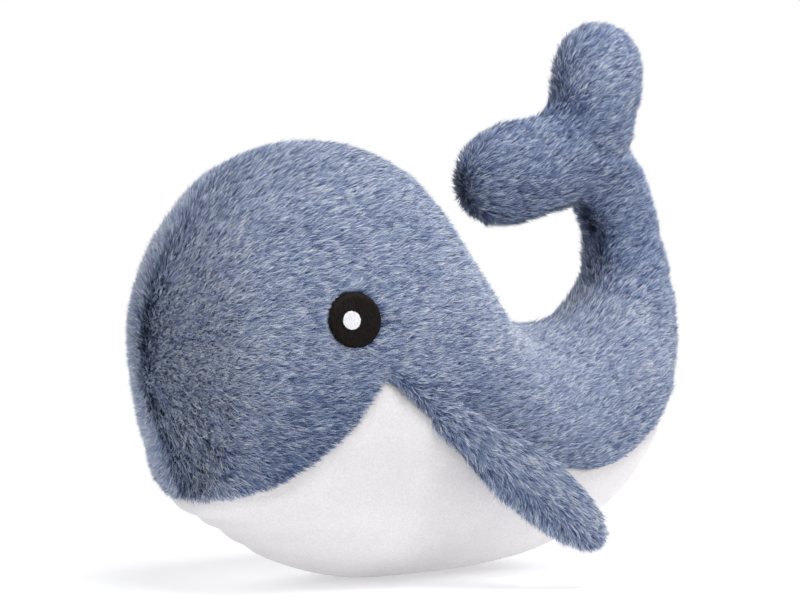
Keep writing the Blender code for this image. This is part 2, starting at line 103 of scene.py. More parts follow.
camera = bpy.data.objects.new("camera", bpy.data.cameras.new("camera"))
bpy.context.scene.collection.objects.link(camera)
camera.data.lens = lens
camera.data.sensor_width = sensor_width
camera.location = Vector(middle + towards_camera * view_distance)
camera.rotation_euler = (Vector(target) - camera.location).to_track_quat("-Z", "Y").to_euler()
bpy.context.scene.camera = camera
print("one pixel at the toy is", round(metres_per_pixel / MM, 3), "mm")

# %% [markdown]
# ## Colours and nodes
# Colours are written as sRGB hex values, as a paint program shows them, and Blender calculates with linear
# ones. One function turns the first into the second. Another adds a node with its settings and links, and a
# third starts a material from a name, a roughness and a sheen. Sheen is the pale edge that fibres give cloth.


# %% Colour and node helpers
def linear(hex_colour):
    """sRGB hex to linear RGBA: a channel c is c/12.92 up to 0.04045, and above it ((c+0.055)/1.055)^2.4."""
    c = np.array([int(hex_colour[i : i + 2], 16) for i in (1, 3, 5)]) / 255
    return (*np.where(c <= 0.04045, c / 12.92, ((c + 0.055) / 1.055) ** 2.4), 1.0)


def add(tree, kind, inputs=(), stops=(), **settings):
    """Adds a node. Each of the inputs is set to a number, or linked where it is another node's output. The
    stops of a colour ramp are (place, hex colour)."""
    made = tree.nodes.new(kind)
    for name, value in settings.items():
        setattr(made, name, value)
    for socket, value in dict(inputs).items():
        if isinstance(value, bpy.types.NodeSocket):
            tree.links.new(value, made.inputs[socket])
        else:
            made.inputs[socket].default_value = value
    elements = made.color_ramp.elements if stops else ()
    while len(elements) < len(stops):
        elements.new(0.5)
    for element, (place, colour) in zip(elements, stops):
        element.position = place
        element.color = linear(colour)
    return made


def new_material(name, roughness, sheen, sheen_roughness=0.5):
    """A material with a Principled shader. Its even finish is set on the shader's own sockets."""
    made = bpy.data.materials.new(name)
    made.use_nodes = True
    shader = made.node_tree.nodes["Principled BSDF"]
    shader.inputs["Roughness"].default_value = roughness
    shader.inputs["Sheen Weight"].default_value = sheen
    shader.inputs["Sheen Roughness"].default_value = sheen_roughness
    return made, made.node_tree, shader


print("middle grey, #808080, is", round(linear("#808080")[0], 3), "in linear light")

# %% [markdown]
# ## Light and floor
# A product photograph on white has soft light from large boxes. The world gives a little even light. The
# strongest lamp stands above and in front, one to the right shows the flank, a weak one to the left keeps the
# face from going dark, and one behind lights the far side. Together they are at a level where a colour
# renders about as it is written. The floor is paper, which glows a little, as paper does when it is lit
# through. It takes the toy's soft shadow and fades into the white background a hand's width away.

# %% World and lamps
world = bpy.data.worlds.new("soft studio")
bpy.context.scene.world = world
world.use_nodes = True
world.node_tree.nodes.clear()
ambient = add(world.node_tree, "ShaderNodeBackground", {"Color": linear("#f8f9fb"), "Strength": 0.20})
backdrop = add(world.node_tree, "ShaderNodeBackground", {"Color": (1, 1, 1, 1), "Strength": 1.0})
light_path = add(world.node_tree, "ShaderNodeLightPath")


def seen_directly(tree, path):
    """1 where a ray comes from the camera or through a mirror or glass, where the white backdrop shows."""
    outputs = [path.outputs[f"Is {kind} Ray"] for kind in ("Camera", "Glossy", "Transmission")]
    first = add(tree, "ShaderNodeMath", {0: outputs[0], 1: outputs[1]}, operation="MAXIMUM")
    return add(tree, "ShaderNodeMath", {0: first.outputs[0], 1: outputs[2]}, operation="MAXIMUM").outputs[0]


mixed = add(
    world.node_tree,
    "ShaderNodeMixShader",
    {0: seen_directly(world.node_tree, light_path), 1: ambient.outputs[0], 2: backdrop.outputs[0]},
)
add(world.node_tree, "ShaderNodeOutputWorld", {"Surface": mixed.outputs[0]})


def softbox(name, place, side, watts):
    """A square lamp that points at the toy. Its light falls with the square of its distance."""
    data = bpy.data.lights.new(name, "AREA")
    data.shape, data.size, data.size_y, data.energy = "RECTANGLE", side, side, watts
    lamp = bpy.data.objects.new(name, data)
    lamp.location = place
    lamp.rotation_euler = (Vector(middle) - lamp.location).to_track_quat("-Z", "Y").to_euler()
    bpy.context.scene.collection.objects.link(lamp)
    print(name, "of", watts, "W,", round((Vector(middle) - lamp.location).length, 2), "m from the toy")


softbox("overhead softbox", (0.10, -0.45, 1.45), 0.9, 18.6)
softbox("front softbox", (1.10, -1.10, 1.00), 0.8, 9.4)
softbox("left softbox", (-1.10, -1.00, 0.45), 0.8, 3.6)
softbox("back softbox", (0.20, 1.30, 0.75), 0.9, 8.5)
bpy.context.scene.view_settings.view_transform = "Standard"

# %% Floor
floor_mesh = bpy.data.meshes.new("floor")
far = 3.0
floor_mesh.from_pydata([(-far, -far, 0), (far, -far, 0), (far, far, 0), (-far, far, 0)], [], [(0, 1, 2, 3)])
floor = bpy.data.objects.new("floor", floor_mesh)
bpy.context.scene.collection.objects.link(floor)
floor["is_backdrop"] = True

# Matt white paper sweep. Beyond the toy's shadow the camera sees it as pure white.
paper, tree, paper_shader = new_material("matt white paper", 0.9, 0.0)
paper_shader.inputs["Base Color"].default_value = linear("#f6f6f8")
paper_shader.inputs["Emission Color"].default_value = (1, 1, 1, 1)
paper_shader.inputs["Emission Strength"].default_value = 0.29
place = add(tree, "ShaderNodeTexCoord").outputs["Object"]
away = add(tree, "ShaderNodeVectorMath", {0: place}, operation="LENGTH").outputs["Value"]
fade = add(tree, "ShaderNodeMapRange", {"Value": away, "From Min": 0.07, "From Max": 0.20}).outputs[0]
path = add(tree, "ShaderNodeLightPath")
white = add(tree, "ShaderNodeMath", {0: fade, 1: seen_directly(tree, path)}, operation="MULTIPLY").outputs[0]
glow = add(tree, "ShaderNodeEmission", {"Color": (1, 1, 1, 1), "Strength": 1.0}).outputs[0]
surface = add(tree, "ShaderNodeMixShader", {0: white, 1: paper_shader.outputs[0], 2: glow}).outputs[0]
tree.links.new(surface, tree.nodes["Material Output"].inputs["Surface"])
floor_mesh.materials.append(paper)
print("floor", 2 * far, "m square, at height 0")

# %% [markdown]
# ## The body's pattern
# A pattern maker draws a stuffed toy as sections. Each section here is a line across the side view, from the
# back to the belly, with half a width. The sections run from the nose, round the belly and up the tail. All
# are shares of the length, height and width, as the maker would scale one pattern to several sizes.

# %% Sections of the body and tail
body_length, head_height, body_width = 0.250, 0.180, 0.122
tail_rise, tail_width, tail_thickness = 0.067, 0.036, 0.0255
nose_setback, rest_flat_depth = 0.12517, 0.0005

# x and z of the upper point, x and z of the lower point, half width
body_shares = np.array([
    (0.000, 0.470, 0.000, 0.470, 0.000),
    (0.004, 0.637, 0.033, 0.332, 0.330),
    (0.034, 0.743, 0.058, 0.242, 0.565),
    (0.078, 0.838, 0.078, 0.183, 0.740),
    (0.144, 0.931, 0.136, 0.122, 0.870),
    (0.244, 0.984, 0.236, 0.042, 0.965),
    (0.354, 0.983, 0.352, -0.001, 1.000),
    (0.450, 0.928, 0.480, -0.001, 1.000),
    (0.515, 0.808, 0.600, 0.010, 0.970),
    (0.579, 0.660, 0.716, 0.044, 0.890),
    (0.652, 0.580, 0.830, 0.124, 0.765),
    (0.750, 0.570, 0.914, 0.230, 0.615),
    (0.814, 0.618, 0.967, 0.350, 0.485),
    (0.837, 0.687, 1.000, 0.480, 0.370),
])
# x and z of the middle, width, thickness, tilt in degrees
tail_shares = np.array([
    (-0.007, 0.239, 1.250, 1.360, -22.0),
    (-0.052, 0.463, 1.030, 1.120, -6.0),
    (-0.113, 0.657, 1.030, 1.000, 5.0),
    (-0.190, 0.836, 1.030, 0.960, 12.0),
    (-0.330, 1.000, 1.100, 0.920, 25.0),
])


def sections():
    """Rows of upper x, z, lower x, z and half width in metres, from the nose to the fork."""
    scale = np.array([body_length, head_height])
    upper, lower = body_shares[:, 0:2] * scale, body_shares[:, 2:4] * scale
    root = (upper[-1] + lower[-1]) / 2
    tilt = np.radians(tail_shares[:, 4])
    out = np.stack([np.cos(tilt), np.sin(tilt)], 1) * tail_shares[:, 2:3] * tail_width / 2
    centre = root + tail_shares[:, 0:2] * tail_rise
    upper, lower = np.vstack([upper, centre - out]), np.vstack([lower, centre + out])
    half = np.concatenate([body_shares[:, 4] * body_width, tail_shares[:, 3] * tail_thickness]) / 2
    lift = np.array([nose_setback, rest_flat_depth])
    return np.column_stack([upper - lift, lower - lift, half])


section_rows = sections()
curl_section, fork_section = len(body_shares) - 1, len(section_rows) - 1
print(len(section_rows), "sections, the tail's root at section", curl_section)


# %% [markdown]
# ## One smooth surface
# A cubic curve through the sections gives a section at every place s between the nose, s = 0, and the fork,
# s = 18. Each section is a superellipse, a little squarer than an ellipse, because the cloth is pulled tight
# over the stuffing between two flat panels. Two numbers, s and the angle round, give every point of the toy.


# %% The body as a surface
section_fullness = 2.2


def between(a, b, c, d, t):
    """A smooth curve from b, at t = 0, to c, at t = 1, with a before them and d after them, after Catmull and
    Rom's formula: half of 2b + (c-a)t + (2a-5b+4c-d)t^2 + (3b-a-3c+d)t^3."""
    return (2 * b + (c - a) * t + (2 * a - 5 * b + 4 * c - d) * t**2 + (3 * b - a - 3 * c + d) * t**3) / 2


def smooth_rows(table, s):
    """Rows at any s, on the smooth curve through the table's rows. The nose is mirrored before the first."""
    mirrored_nose = np.concatenate([table[1, 2:4], table[1, 0:2], [-table[1, 4]]])
    padded = np.vstack([mirrored_nose, table, 2 * table[-1] - table[-2]])
    i = np.clip(np.floor(s).astype(int), 0, len(table) - 2)
    return between(*(padded[i + k] for k in range(4)), (s - i)[:, None])


def power(x):
    """sign(x) |x|^(2/2.2), which makes a superellipse of a circle's cosine and sine."""
    return np.sign(x) * np.abs(x) ** (2 / section_fullness)


def body_surface(s, angle):
    """The point at s and angle: the middle of the section, plus across it by half the width times cos(angle),
    plus up it by half its height times sin(angle), both through power()."""
    s, angle = np.broadcast_arrays(s, angle)
    rows = smooth_rows(section_rows, s.ravel()).reshape(s.shape + (5,))
    upper, lower = rows[..., 0:2], rows[..., 2:4]
    flat = (upper + lower) / 2 + (upper - lower) / 2 * power(np.sin(angle))[..., None]
    return np.stack([flat[..., 0], rows[..., 4] * power(np.cos(angle)), flat[..., 1]], -1)


def unit(v):
    """Vectors of length 1 along v."""
    return v / np.maximum(np.linalg.norm(v, axis=-1, keepdims=True), 1e-12)


def body_normal(s, angle, step=2e-3):
    """The outward normal: the way round the section crossed with the way along it. At the nose itself, where
    the ways shrink to nothing, it is the one a little behind."""
    s = np.maximum(s, 0.06)
    way_round = body_surface(s, angle + step) - body_surface(s, angle - step)
    way_along = body_surface(s + step, angle) - body_surface(s - step, angle)
    return unit(np.cross(way_round, way_along))


nose = body_surface(np.array([0.0]), np.array([0.0]))[0]
print("nose at", (nose / MM).round(1), "mm")

# %% [markdown]
# ## The belly seam
# The white belly panel is sewn between the side panels. Its seam rises from the chin to a point behind the
# eye and falls away to the rear. It is drawn in the side view, and each section is searched for the angle at
# which it crosses the seam, so that both panels can end on exactly the same line.

# %% Seam line and seam angle
seam_shares = np.array([
    (0.018, 0.178), (0.064, 0.207), (0.122, 0.234), (0.181, 0.284), (0.249, 0.375), (0.291, 0.458),
    (0.307, 0.490), (0.346, 0.452), (0.400, 0.394), (0.455, 0.342), (0.535, 0.296), (0.630, 0.266),
    (0.720, 0.246), (0.800, 0.262), (0.872, 0.304), (0.935, 0.344), (1.030, 0.400),
])


def seam_line(points_between=12):
    """The seam in the side view: a cubic curve up to its peak and another one down from it."""
    seam = seam_shares * [body_length, head_height] - [nose_setback, rest_flat_depth]
    peak = seam[:, 1].argmax()
    parts = []
    for part in (seam[: peak + 1], seam[peak:]):
        padded = np.vstack([2 * part[0] - part[1], part, 2 * part[-1] - part[-2]])
        t = (np.arange(points_between) / points_between)[None, :, None]
        rows = (padded[k : k + len(part) - 1, None, :] for k in range(4))
        parts.append(between(*rows, t).reshape(-1, 2))
    return np.vstack([*parts, seam[-1:]])


seam_side_view = seam_line()


def seam_angle(s):
    """The angle on the left side at which the section at s crosses the seam, or 270 degrees if it doesn't."""
    share = np.linspace(1, -1, 801)
    rows = smooth_rows(section_rows, s)
    half_line = (rows[:, None, 0:2] - rows[:, None, 2:4]) / 2
    flat = (rows[:, None, 0:2] + rows[:, None, 2:4]) / 2 + half_line * share[None, :, None]
    over = flat[..., 1] - np.interp(flat[..., 0], *seam_side_view.T)
    below = over < 0
    first = np.where(below.any(1), below.argmax(1), len(share) - 1)
    pick = np.arange(len(s))
    before = np.maximum(first - 1, 0)
    part = over[pick, before] / np.maximum(over[pick, before] - over[pick, first], 1e-12)
    height = np.where(below.any(1), share[before] + part * (share[first] - share[before]), -1.0)
    sine = np.sign(height) * np.abs(height) ** (section_fullness / 2)
    return math.pi - np.arcsin(np.clip(sine, -1, 1))


def where_belly_ends(bare, covered):
    """Halves the stretch between a section without belly and one with it, until it is a hair wide."""
    for _ in range(30):
        mid = (bare + covered) / 2
        has_belly = seam_angle(np.array([mid]))[0] < 1.5 * math.pi - 1e-9
        bare, covered = (bare, mid) if has_belly else (mid, covered)
    return covered


belly_front, belly_rear = where_belly_ends(2.0, 4.0), where_belly_ends(13.0, 11.0)
print("belly panel from section", round(belly_front, 3), "to", round(belly_rear, 3))

# %% [markdown]
# ## Meshes from arrays
# Every surface here is worked out as a whole array of points, and handed to Blender in one go. A grid of
# rows and columns gives four-sided faces. Rows that shrink to a point, as at the nose, are welded.


# %% Mesh helpers
def grid_faces(rows, columns, closed=False, flip=False):
    """Four corners per face of a grid whose columns may run right round."""
    r, c = np.meshgrid(np.arange(rows - 1), np.arange(columns if closed else columns - 1), indexing="ij")
    r, c, d = r.ravel(), c.ravel(), ((c + 1) % columns).ravel()
    faces = np.stack([r * columns + c, r * columns + d, (r + 1) * columns + d, (r + 1) * columns + c], 1)
    return faces[:, ::-1] if flip else faces


def new_mesh(name, points, *face_sets):
    """A mesh from points and from arrays of faces, one array for each number of corners."""
    mesh = bpy.data.meshes.new(name)
    corners = np.concatenate([faces.ravel() for faces in face_sets])
    sizes = np.concatenate([np.full(len(faces), faces.shape[1]) for faces in face_sets])
    mesh.vertices.add(len(points))
    mesh.vertices.foreach_set("co", np.ascontiguousarray(points, np.float32).ravel())
    mesh.loops.add(len(corners))
    mesh.loops.foreach_set("vertex_index", corners.astype(np.int32))
    mesh.polygons.add(len(sizes))
    mesh.polygons.foreach_set("loop_start", (np.cumsum(sizes) - sizes).astype(np.int32))
    mesh.update(calc_edges=True)
    return mesh


def new_object(name, mesh, material):
    """An object at the origin, smooth-shaded, with one material."""
    made = bpy.data.objects.new(name, mesh)
    bpy.context.scene.collection.objects.link(made)
    mesh.materials.append(material)
    mesh.shade_smooth()
    return made


def welded(mesh, gap=1e-6):
    """The mesh with points that lie in one place made one, as at a pole, and its faces set outwards."""
    shape = bmesh.new()
    shape.from_mesh(mesh)
    bmesh.ops.remove_doubles(shape, verts=shape.verts, dist=gap)
    bmesh.ops.dissolve_degenerate(shape, dist=gap, edges=shape.edges)
    shape.to_mesh(mesh)
    shape.free()
    return mesh


def arrays_of(mesh):
    """Points, triangles and point normals of a mesh."""
    mesh.calc_loop_triangles()
    points = np.empty(len(mesh.vertices) * 3, np.float32)
    mesh.vertices.foreach_get("co", points)
    normals = np.empty(len(mesh.vertices) * 3, np.float32)
    mesh.vertex_normals.foreach_get("vector", normals)
    triangles = np.empty(len(mesh.loop_triangles) * 3, np.int32)
    mesh.loop_triangles.foreach_get("vertices", triangles)
    return points.reshape(-1, 3).astype(float), triangles.reshape(-1, 3), normals.reshape(-1, 3).astype(float)


def tally(made):
    """Prints a piece's faces and its size."""
    points = np.empty(len(made.data.vertices) * 3, np.float32)
    made.data.vertices.foreach_get("co", points)
    size = np.ptp(points.reshape(-1, 3), axis=0) / MM
    print(made.name, len(made.data.polygons), "faces,", size.round(1), "mm")


print("a grid of 3 by 4 points:", len(grid_faces(3, 4)), "faces, closed:", len(grid_faces(3, 4, True)))


# %% [markdown]
# ## How deep the cloth lies
# The pattern above is the toy with its pile. The plush's woven back lies under it, by the height of the pile.
# At a seam both cloths are drawn in: the velour dips to meet the plush, and the two side panels leave a
# narrow groove along the forehead, the back and round the tail, where the pile parts.

# %% Cloth depth
pile_height = 3.3 * MM
seam_depth = 2.8 * MM
velour_depth = 0.3 * MM
groove_depth, groove_width = 0.15 * MM, 2.4 * MM  # down the middle seam
tuck_white, tuck_plush = 5 * MM, 6 * MM  # how far from the belly seam each cloth is drawn in
filling_slack = 2.9 * MM  # how far the unfilled cloth hangs inside its filled place
firm_belly_seam, firm_middle_seam = 14 * MM, 12 * MM  # nearer to a seam the cloth hangs less
firm_sections = 1.3  # and over this many sections before the tail
trunk_end = 12.25

even_rows = np.linspace(0, trunk_end, 124)
tight = np.array([0.0, 0.004, 0.012, 0.03, 0.06])
trunk_s = np.unique(np.concatenate([even_rows, belly_front + tight, belly_rear - tight]))
seam_s = trunk_s[(trunk_s >= belly_front) & (trunk_s <= belly_rear)]
seam_points = body_surface(seam_s, seam_angle(seam_s))
seam_along = unit(np.gradient(seam_points, axis=0))
seam_outward = body_normal(seam_s, seam_angle(seam_s))
seam_across = unit(np.cross(seam_along, seam_outward))  # from the plush to the white
seam_length = np.linalg.norm(np.diff(seam_points, axis=0), axis=1).sum()
print("belly seam", round(seam_length / MM), "mm long on each side")


def nearest(points, line):
    """Distance of each point from the nearest point of a line, and that point's number. The points are taken
    in slices to spare memory."""
    far, which = [], []
    for part in np.array_split(points.reshape(-1, 3), 16):
        apart = np.linalg.norm(part[:, None] - line[None], axis=2)
        which.append(apart.argmin(1))
        far.append(apart.min(1))
    return np.concatenate(far).reshape(points.shape[:-1]), np.concatenate(which).reshape(points.shape[:-1])


def bump(distance, width):
    """exp(-(distance/width)^2), 1 on a line and fading to 0 a couple of widths away."""
    return np.exp(-((distance / width) ** 2))


def eased(x):
    """x held between 0 and 1, with a soft start and end: x^2 (3 - 2x)."""
    x = np.clip(x, 0, 1)
    return x**2 * (3 - 2 * x)


def cloth_surface(s, angle, white):
    """The body's surface moved in, square to itself, to where the cloth lies before the toy is filled, with
    the distance from the belly seam and the room that the filling has left to take up."""
    outer, normal = body_surface(s, angle), body_normal(s, angle)
    at_nose = np.broadcast_to(s, outer.shape[:-1]) < 1e-6
    normal[at_nose] = (-1.0, 0.0, 0.0)
    left = outer * [1, -1, 1]
    left[..., 1] = -np.abs(outer[..., 1])
    seam, _ = nearest(left, seam_points)
    sides = np.abs(outer[..., 1])
    if white:
        depth = velour_depth + (seam_depth - velour_depth) * bump(seam, tuck_white)
    else:
        depth = pile_height + (seam_depth - pile_height) * bump(seam, tuck_plush)
        depth += groove_depth * bump(sides, groove_width)
    near_tail = eased((np.broadcast_to(s, seam.shape) - trunk_end + firm_sections) / firm_sections)
    slack = filling_slack * (1 - bump(seam, firm_belly_seam)) * (1 - near_tail)
    if not white:
        slack = slack * (1 - bump(sides, firm_middle_seam))
    return outer - normal * (depth + slack)[..., None], seam, normal * slack[..., None]


# %% [markdown]
# ## Filling the toy
# Real plush is limp until it is stuffed, and then it swells between the seams and puckers along them. Cloth
# simulation does the same: the closed cover is pressed from inside for 20 frames while its seams are held.
# What is kept is how far each point has moved, at most a few millimetres, so that the pattern still decides
# the shape.

# %% Cloth simulation
most_travel = 2.2 * MM


def pressed_out(name, points, face_sets, held):
    """How far each point of a closed cover moves when it is filled. The held points stay."""
    cover = bpy.data.objects.new(name, new_mesh(name, points, *face_sets))
    bpy.context.scene.collection.objects.link(cover)
    group = cover.vertex_groups.new(name="sewn")
    group.add(np.flatnonzero(held).tolist(), 1.0, "REPLACE")
    cloth = cover.modifiers.new("filling", "CLOTH")
    cloth.settings.quality = 6
    cloth.settings.mass = 0.2
    cloth.settings.tension_stiffness = 18
    cloth.settings.compression_stiffness = 12
    cloth.settings.bending_stiffness = 0.4
    cloth.settings.shrink_min = -0.035  # the cloth is cut a little larger than its place, so it puckers
    cloth.settings.use_pressure = True
    cloth.settings.uniform_pressure_force = 4
    cloth.settings.vertex_group_mass = "sewn"
    cloth.settings.effector_weights.gravity = 0
    cloth.point_cache.frame_start, cloth.point_cache.frame_end = 1, 20
    for number in range(1, 21):
        bpy.context.scene.frame_set(number)
    seen = cover.evaluated_get(bpy.context.evaluated_depsgraph_get()).to_mesh()
    moved = np.empty(len(seen.vertices) * 3, np.float32)
    seen.vertices.foreach_get("co", moved)
    travel = moved.reshape(-1, 3) - points
    bpy.data.objects.remove(cover)
    bpy.context.scene.frame_set(1)
    length = np.linalg.norm(travel, axis=1, keepdims=True)
    print(name, "moved", (length.mean() / MM).round(2), "mm,", (length.max() / MM).round(2), "at most")
    return travel * np.minimum(1, most_travel / np.maximum(length, 1e-9))


# %% Filling the body
form_rows, form_columns = 58, 64
form_s = np.linspace(0, trunk_end, form_rows)
form_angle = math.pi / 2 + np.arange(form_columns) * 2 * math.pi / form_columns
left_angle = np.where(form_angle <= 1.5 * math.pi, form_angle, 3 * math.pi - form_angle)
is_white = left_angle[None, :] > seam_angle(form_s)[:, None] + 1e-6
blue_form, seam_away, blue_room = cloth_surface(form_s[:, None], form_angle[None, :], False)
white_form, _, white_room = cloth_surface(form_s[:, None], form_angle[None, :], True)
form = np.where(is_white[..., None], white_form, blue_form)
room = np.where(is_white[..., None], white_room, blue_room)
form[0] = form[0].mean(0)
sewn = (seam_away < 2.6 * MM) | (~is_white & (np.abs(form[..., 1]) < 1.0 * MM))
sewn[-1] = True

form_points = np.vstack([form[0, :1], form[1:].reshape(-1, 3), form[-1].mean(0, keepdims=True)])
around = np.arange(form_columns)
onward = (around + 1) % form_columns
last_row = 1 + (form_rows - 2) * form_columns
nose_fan = np.stack([np.zeros_like(around), 1 + onward, 1 + around], 1)
end_fan = np.stack([last_row + around, last_row + onward, np.full_like(around, last_row + form_columns)], 1)
form_quads = grid_faces(form_rows - 1, form_columns, closed=True) + 1
form_held = np.concatenate([[False], sewn[1:].ravel(), [True]])
form_travel = pressed_out("body_form", form_points, (form_quads, nose_fan, end_fan), form_held)
travel_grid = np.concatenate([np.repeat(form_travel[:1], form_columns, 0), form_travel[1:-1]])
travel_grid = travel_grid.reshape(form_rows, form_columns, 3)
# Firmly stuffed cloth takes up from 45 to 80 % of its room everywhere, so no fold is left as deep as a dent
taken = (travel_grid * room).sum(-1) / np.maximum((room**2).sum(-1), 1e-10)
travel_grid += room * (np.clip(taken, 0.45, 0.80) - taken)[..., None]
print("room taken up:", taken.mean().round(2), "on average before the limits")


def filled_travel(s, angle):
    """The simulated travel at any s and angle, by straight-line interpolation in both."""
    row = np.clip(s / trunk_end * (form_rows - 1), 0, form_rows - 1.001)
    column = ((angle - math.pi / 2) / (2 * math.pi) * form_columns) % form_columns
    row, column = np.broadcast_arrays(row, column)
    r, c = row.astype(int), column.astype(int) % form_columns
    u, v = (row - r)[..., None], (column - np.floor(column))[..., None]
    d = (c + 1) % form_columns
    low = travel_grid[r, c] * (1 - v) + travel_grid[r, d] * v
    high = travel_grid[r + 1, c] * (1 - v) + travel_grid[r + 1, d] * v
    return low * (1 - u) + high * u


# %% [markdown]
# ## Cloth materials
# The plush's back is a knitted polyester, dyed the dark blue of the pile's roots. The velour is a cut-pile
# knit with fibres about 1 mm long, so it looks matt and soft, with a faint cloudiness where the fibres lie
# in different directions, and a slight sheen at grazing angles.

# %% Plush back and velour
plush_back, tree, shader = new_material("knitted polyester back", 0.95, 0.1)
where = add(tree, "ShaderNodeTexCoord").outputs["Object"]
knit_per_metre = 1 / (1.2 * MM)
knit = add(tree, "ShaderNodeTexNoise", {"Vector": where, "Scale": knit_per_metre, "Detail": 2.0}).outputs[0]
varied_colour = add(tree, "ShaderNodeValToRGB", {"Fac": knit}, [(0.3, "#56637f"), (0.7, "#7e8cab")]).outputs[0]
tree.links.new(varied_colour, shader.inputs["Base Color"])
raised = add(tree, "ShaderNodeBump", {"Height": knit, "Distance": 0.4 * MM, "Strength": 0.6})
tree.links.new(raised.outputs[0], shader.inputs["Normal"])

velour, tree, shader = new_material("white polyester velour", 0.88, 0.35, 0.4)
where = add(tree, "ShaderNodeTexCoord").outputs["Object"]
cloud_size, nap_size = 22 * MM, 0.9 * MM
clouds = add(tree, "ShaderNodeTexNoise", {"Vector": where, "Scale": 1 / cloud_size, "Detail": 3.0}).outputs[0]
nap = add(tree, "ShaderNodeTexNoise", {"Vector": where, "Scale": 1 / nap_size, "Detail": 3.0}).outputs[0]
tint = add(tree, "ShaderNodeValToRGB", {"Fac": clouds}, [(0.35, "#dcdada"), (0.65, "#e2e0e0")]).outputs[0]
fibre = add(tree, "ShaderNodeValToRGB", {"Fac": nap}, [(0.3, "#f3f2f4"), (0.7, "#ffffff")]).outputs[0]
multiplied = {"data_type": "RGBA", "blend_type": "MULTIPLY"}
both = add(tree, "ShaderNodeMix", {"Factor": 1.0, 6: tint, 7: fibre}, **multiplied)
tree.links.new(both.outputs[2], shader.inputs["Base Color"])
raised = add(tree, "ShaderNodeBump", {"Height": nap, "Distance": 0.25 * MM, "Strength": 0.5})
tree.links.new(raised.outputs[0], shader.inputs["Normal"])
print("cloths:", plush_back.name, "and", velour.name)

# %% [markdown]
# ## The three panels of the body
# Each panel is a grid whose last column lies exactly on the seam, so the panels meet thread on thread. Cloth
# has a thickness, so each grid gets a second layer inside it and a rim round its edge.

# %% Body panels
cloth_thickness = 1.0 * MM


def thick_panel(name, grid, material, flip, inner=None):
    """A closed shell from a grid: the grid itself, an inner one that lies in by the cloth's thickness, and a
    rim that joins their borders."""
    rows, columns = grid.shape[:2]
    if inner is None:
        normals = unit(np.cross(np.gradient(grid, axis=1), np.gradient(grid, axis=0)))
        inner = grid - normals * cloth_thickness * (-1 if flip else 1)
    count = rows * columns
    faces = grid_faces(rows, columns, flip=flip)
    index = np.arange(count).reshape(rows, columns)
    border = np.concatenate([index[0, :-1], index[:-1, -1], index[-1, :0:-1], index[:0:-1, 0]])
    following = np.roll(border, -1)
    rim = np.stack([border, border + count, following + count, following], 1)
    if flip:
        rim = rim[:, ::-1]
    points = np.vstack([grid.reshape(-1, 3), inner.reshape(-1, 3)])
    return new_object(name, welded(new_mesh(name, points, faces, faces[:, ::-1] + count, rim)), material)


def seam_puckers(seam, along, height):
    """Small folds across a seam: an uneven wave 9 mm long, which fades over 7 mm from the seam."""
    wave = 0.5 + 0.5 * np.sin(2 * math.pi * along / (9 * MM) + 1.7 * np.sin(2 * math.pi * along / (31 * MM)))
    return height * wave * bump(seam, 7 * MM) * (1 - bump(seam, 2 * MM))


# Creases where the belly is drawn in under the chin: both ends in the side view, depth and width, in mm
creases = [
    ((-102.0, 27.0), (-84.0, 29.5), 1.3, 2.0),
    ((-92.5, 20.5), (-62.0, 26.0), 1.2, 2.6),
    ((-82.0, 13.5), (-62.0, 17.0), 0.8, 2.8),
]


def creased(points):
    """How deep the creases are at each point: each one's depth, fading across it and towards its far end."""
    flat, depth = points[..., [0, 2]], np.zeros(points.shape[:-1])
    for start, end, deep, width in creases:
        start, end = np.array(start) * MM, np.array(end) * MM
        run = end - start
        share = np.clip(((flat - start) @ run) / (run @ run), 0, 1)
        away = np.linalg.norm(flat - start - share[..., None] * run, axis=-1)
        depth += deep * MM * bump(away, width * MM) * (1 - share**2)
    return depth


side_columns, belly_columns = 92, 72
end_angle = seam_angle(trunk_s)
across = np.linspace(0, 1, side_columns)
side_angle = math.pi / 2 + (end_angle[:, None] - math.pi / 2) * across[None, :]
side_grid, _, _ = cloth_surface(trunk_s[:, None], side_angle, False)
side_grid += filled_travel(trunk_s[:, None], side_angle)
side_grid[0] = side_grid[0].mean(0)
side_grid[0, :, 1] = 0.0
side_grid[..., 1] = np.minimum(side_grid[..., 1], 0.0)

first_angle = seam_angle(seam_s)[:, None]
belly_angle = first_angle + (3 * math.pi - 2 * first_angle) * np.linspace(0, 1, belly_columns)
belly_grid, belly_seam, _ = cloth_surface(seam_s[:, None], belly_angle, True)
belly_grid += filled_travel(seam_s[:, None], belly_angle)
belly_normal = unit(np.cross(np.gradient(belly_grid, axis=1), np.gradient(belly_grid, axis=0)))
dents = seam_puckers(belly_seam, belly_grid[..., 0], 0.5 * MM) + creased(belly_grid)
belly_grid -= belly_normal * dents[..., None]
belly_grid[..., 2] = np.maximum(belly_grid[..., 2], 0.0)  # it rests flat on the floor
on_seam = (trunk_s >= belly_front) & (trunk_s <= belly_rear)
mirror = np.array([1.0, -1.0, 1.0])
sides = {"left": np.array([1.0, 1.0, 1.0]), "right": mirror}
belly_grid[:, 0] = side_grid[on_seam, -1]
belly_grid[:, -1] = side_grid[on_seam, -1] * mirror

covers = {
    "left": thick_panel("left_side_cover", side_grid, plush_back, False),
    "right": thick_panel("right_side_cover", side_grid * mirror, plush_back, True),
    "belly": thick_panel("belly_cover", belly_grid, velour, False),
}
for cover in covers.values():
    tally(cover)

# %% [markdown]
# ## Embroidered eyes
# An embroidery machine fills each eye with satin stitches: threads 0.4 mm apart, nearly upright, which sink
# into the plush at both ends. The ends aren't quite even, so the rim is ragged. A small patch of white thread
# over the black is the highlight. Each patch is one grid, which carries the round back of every thread.

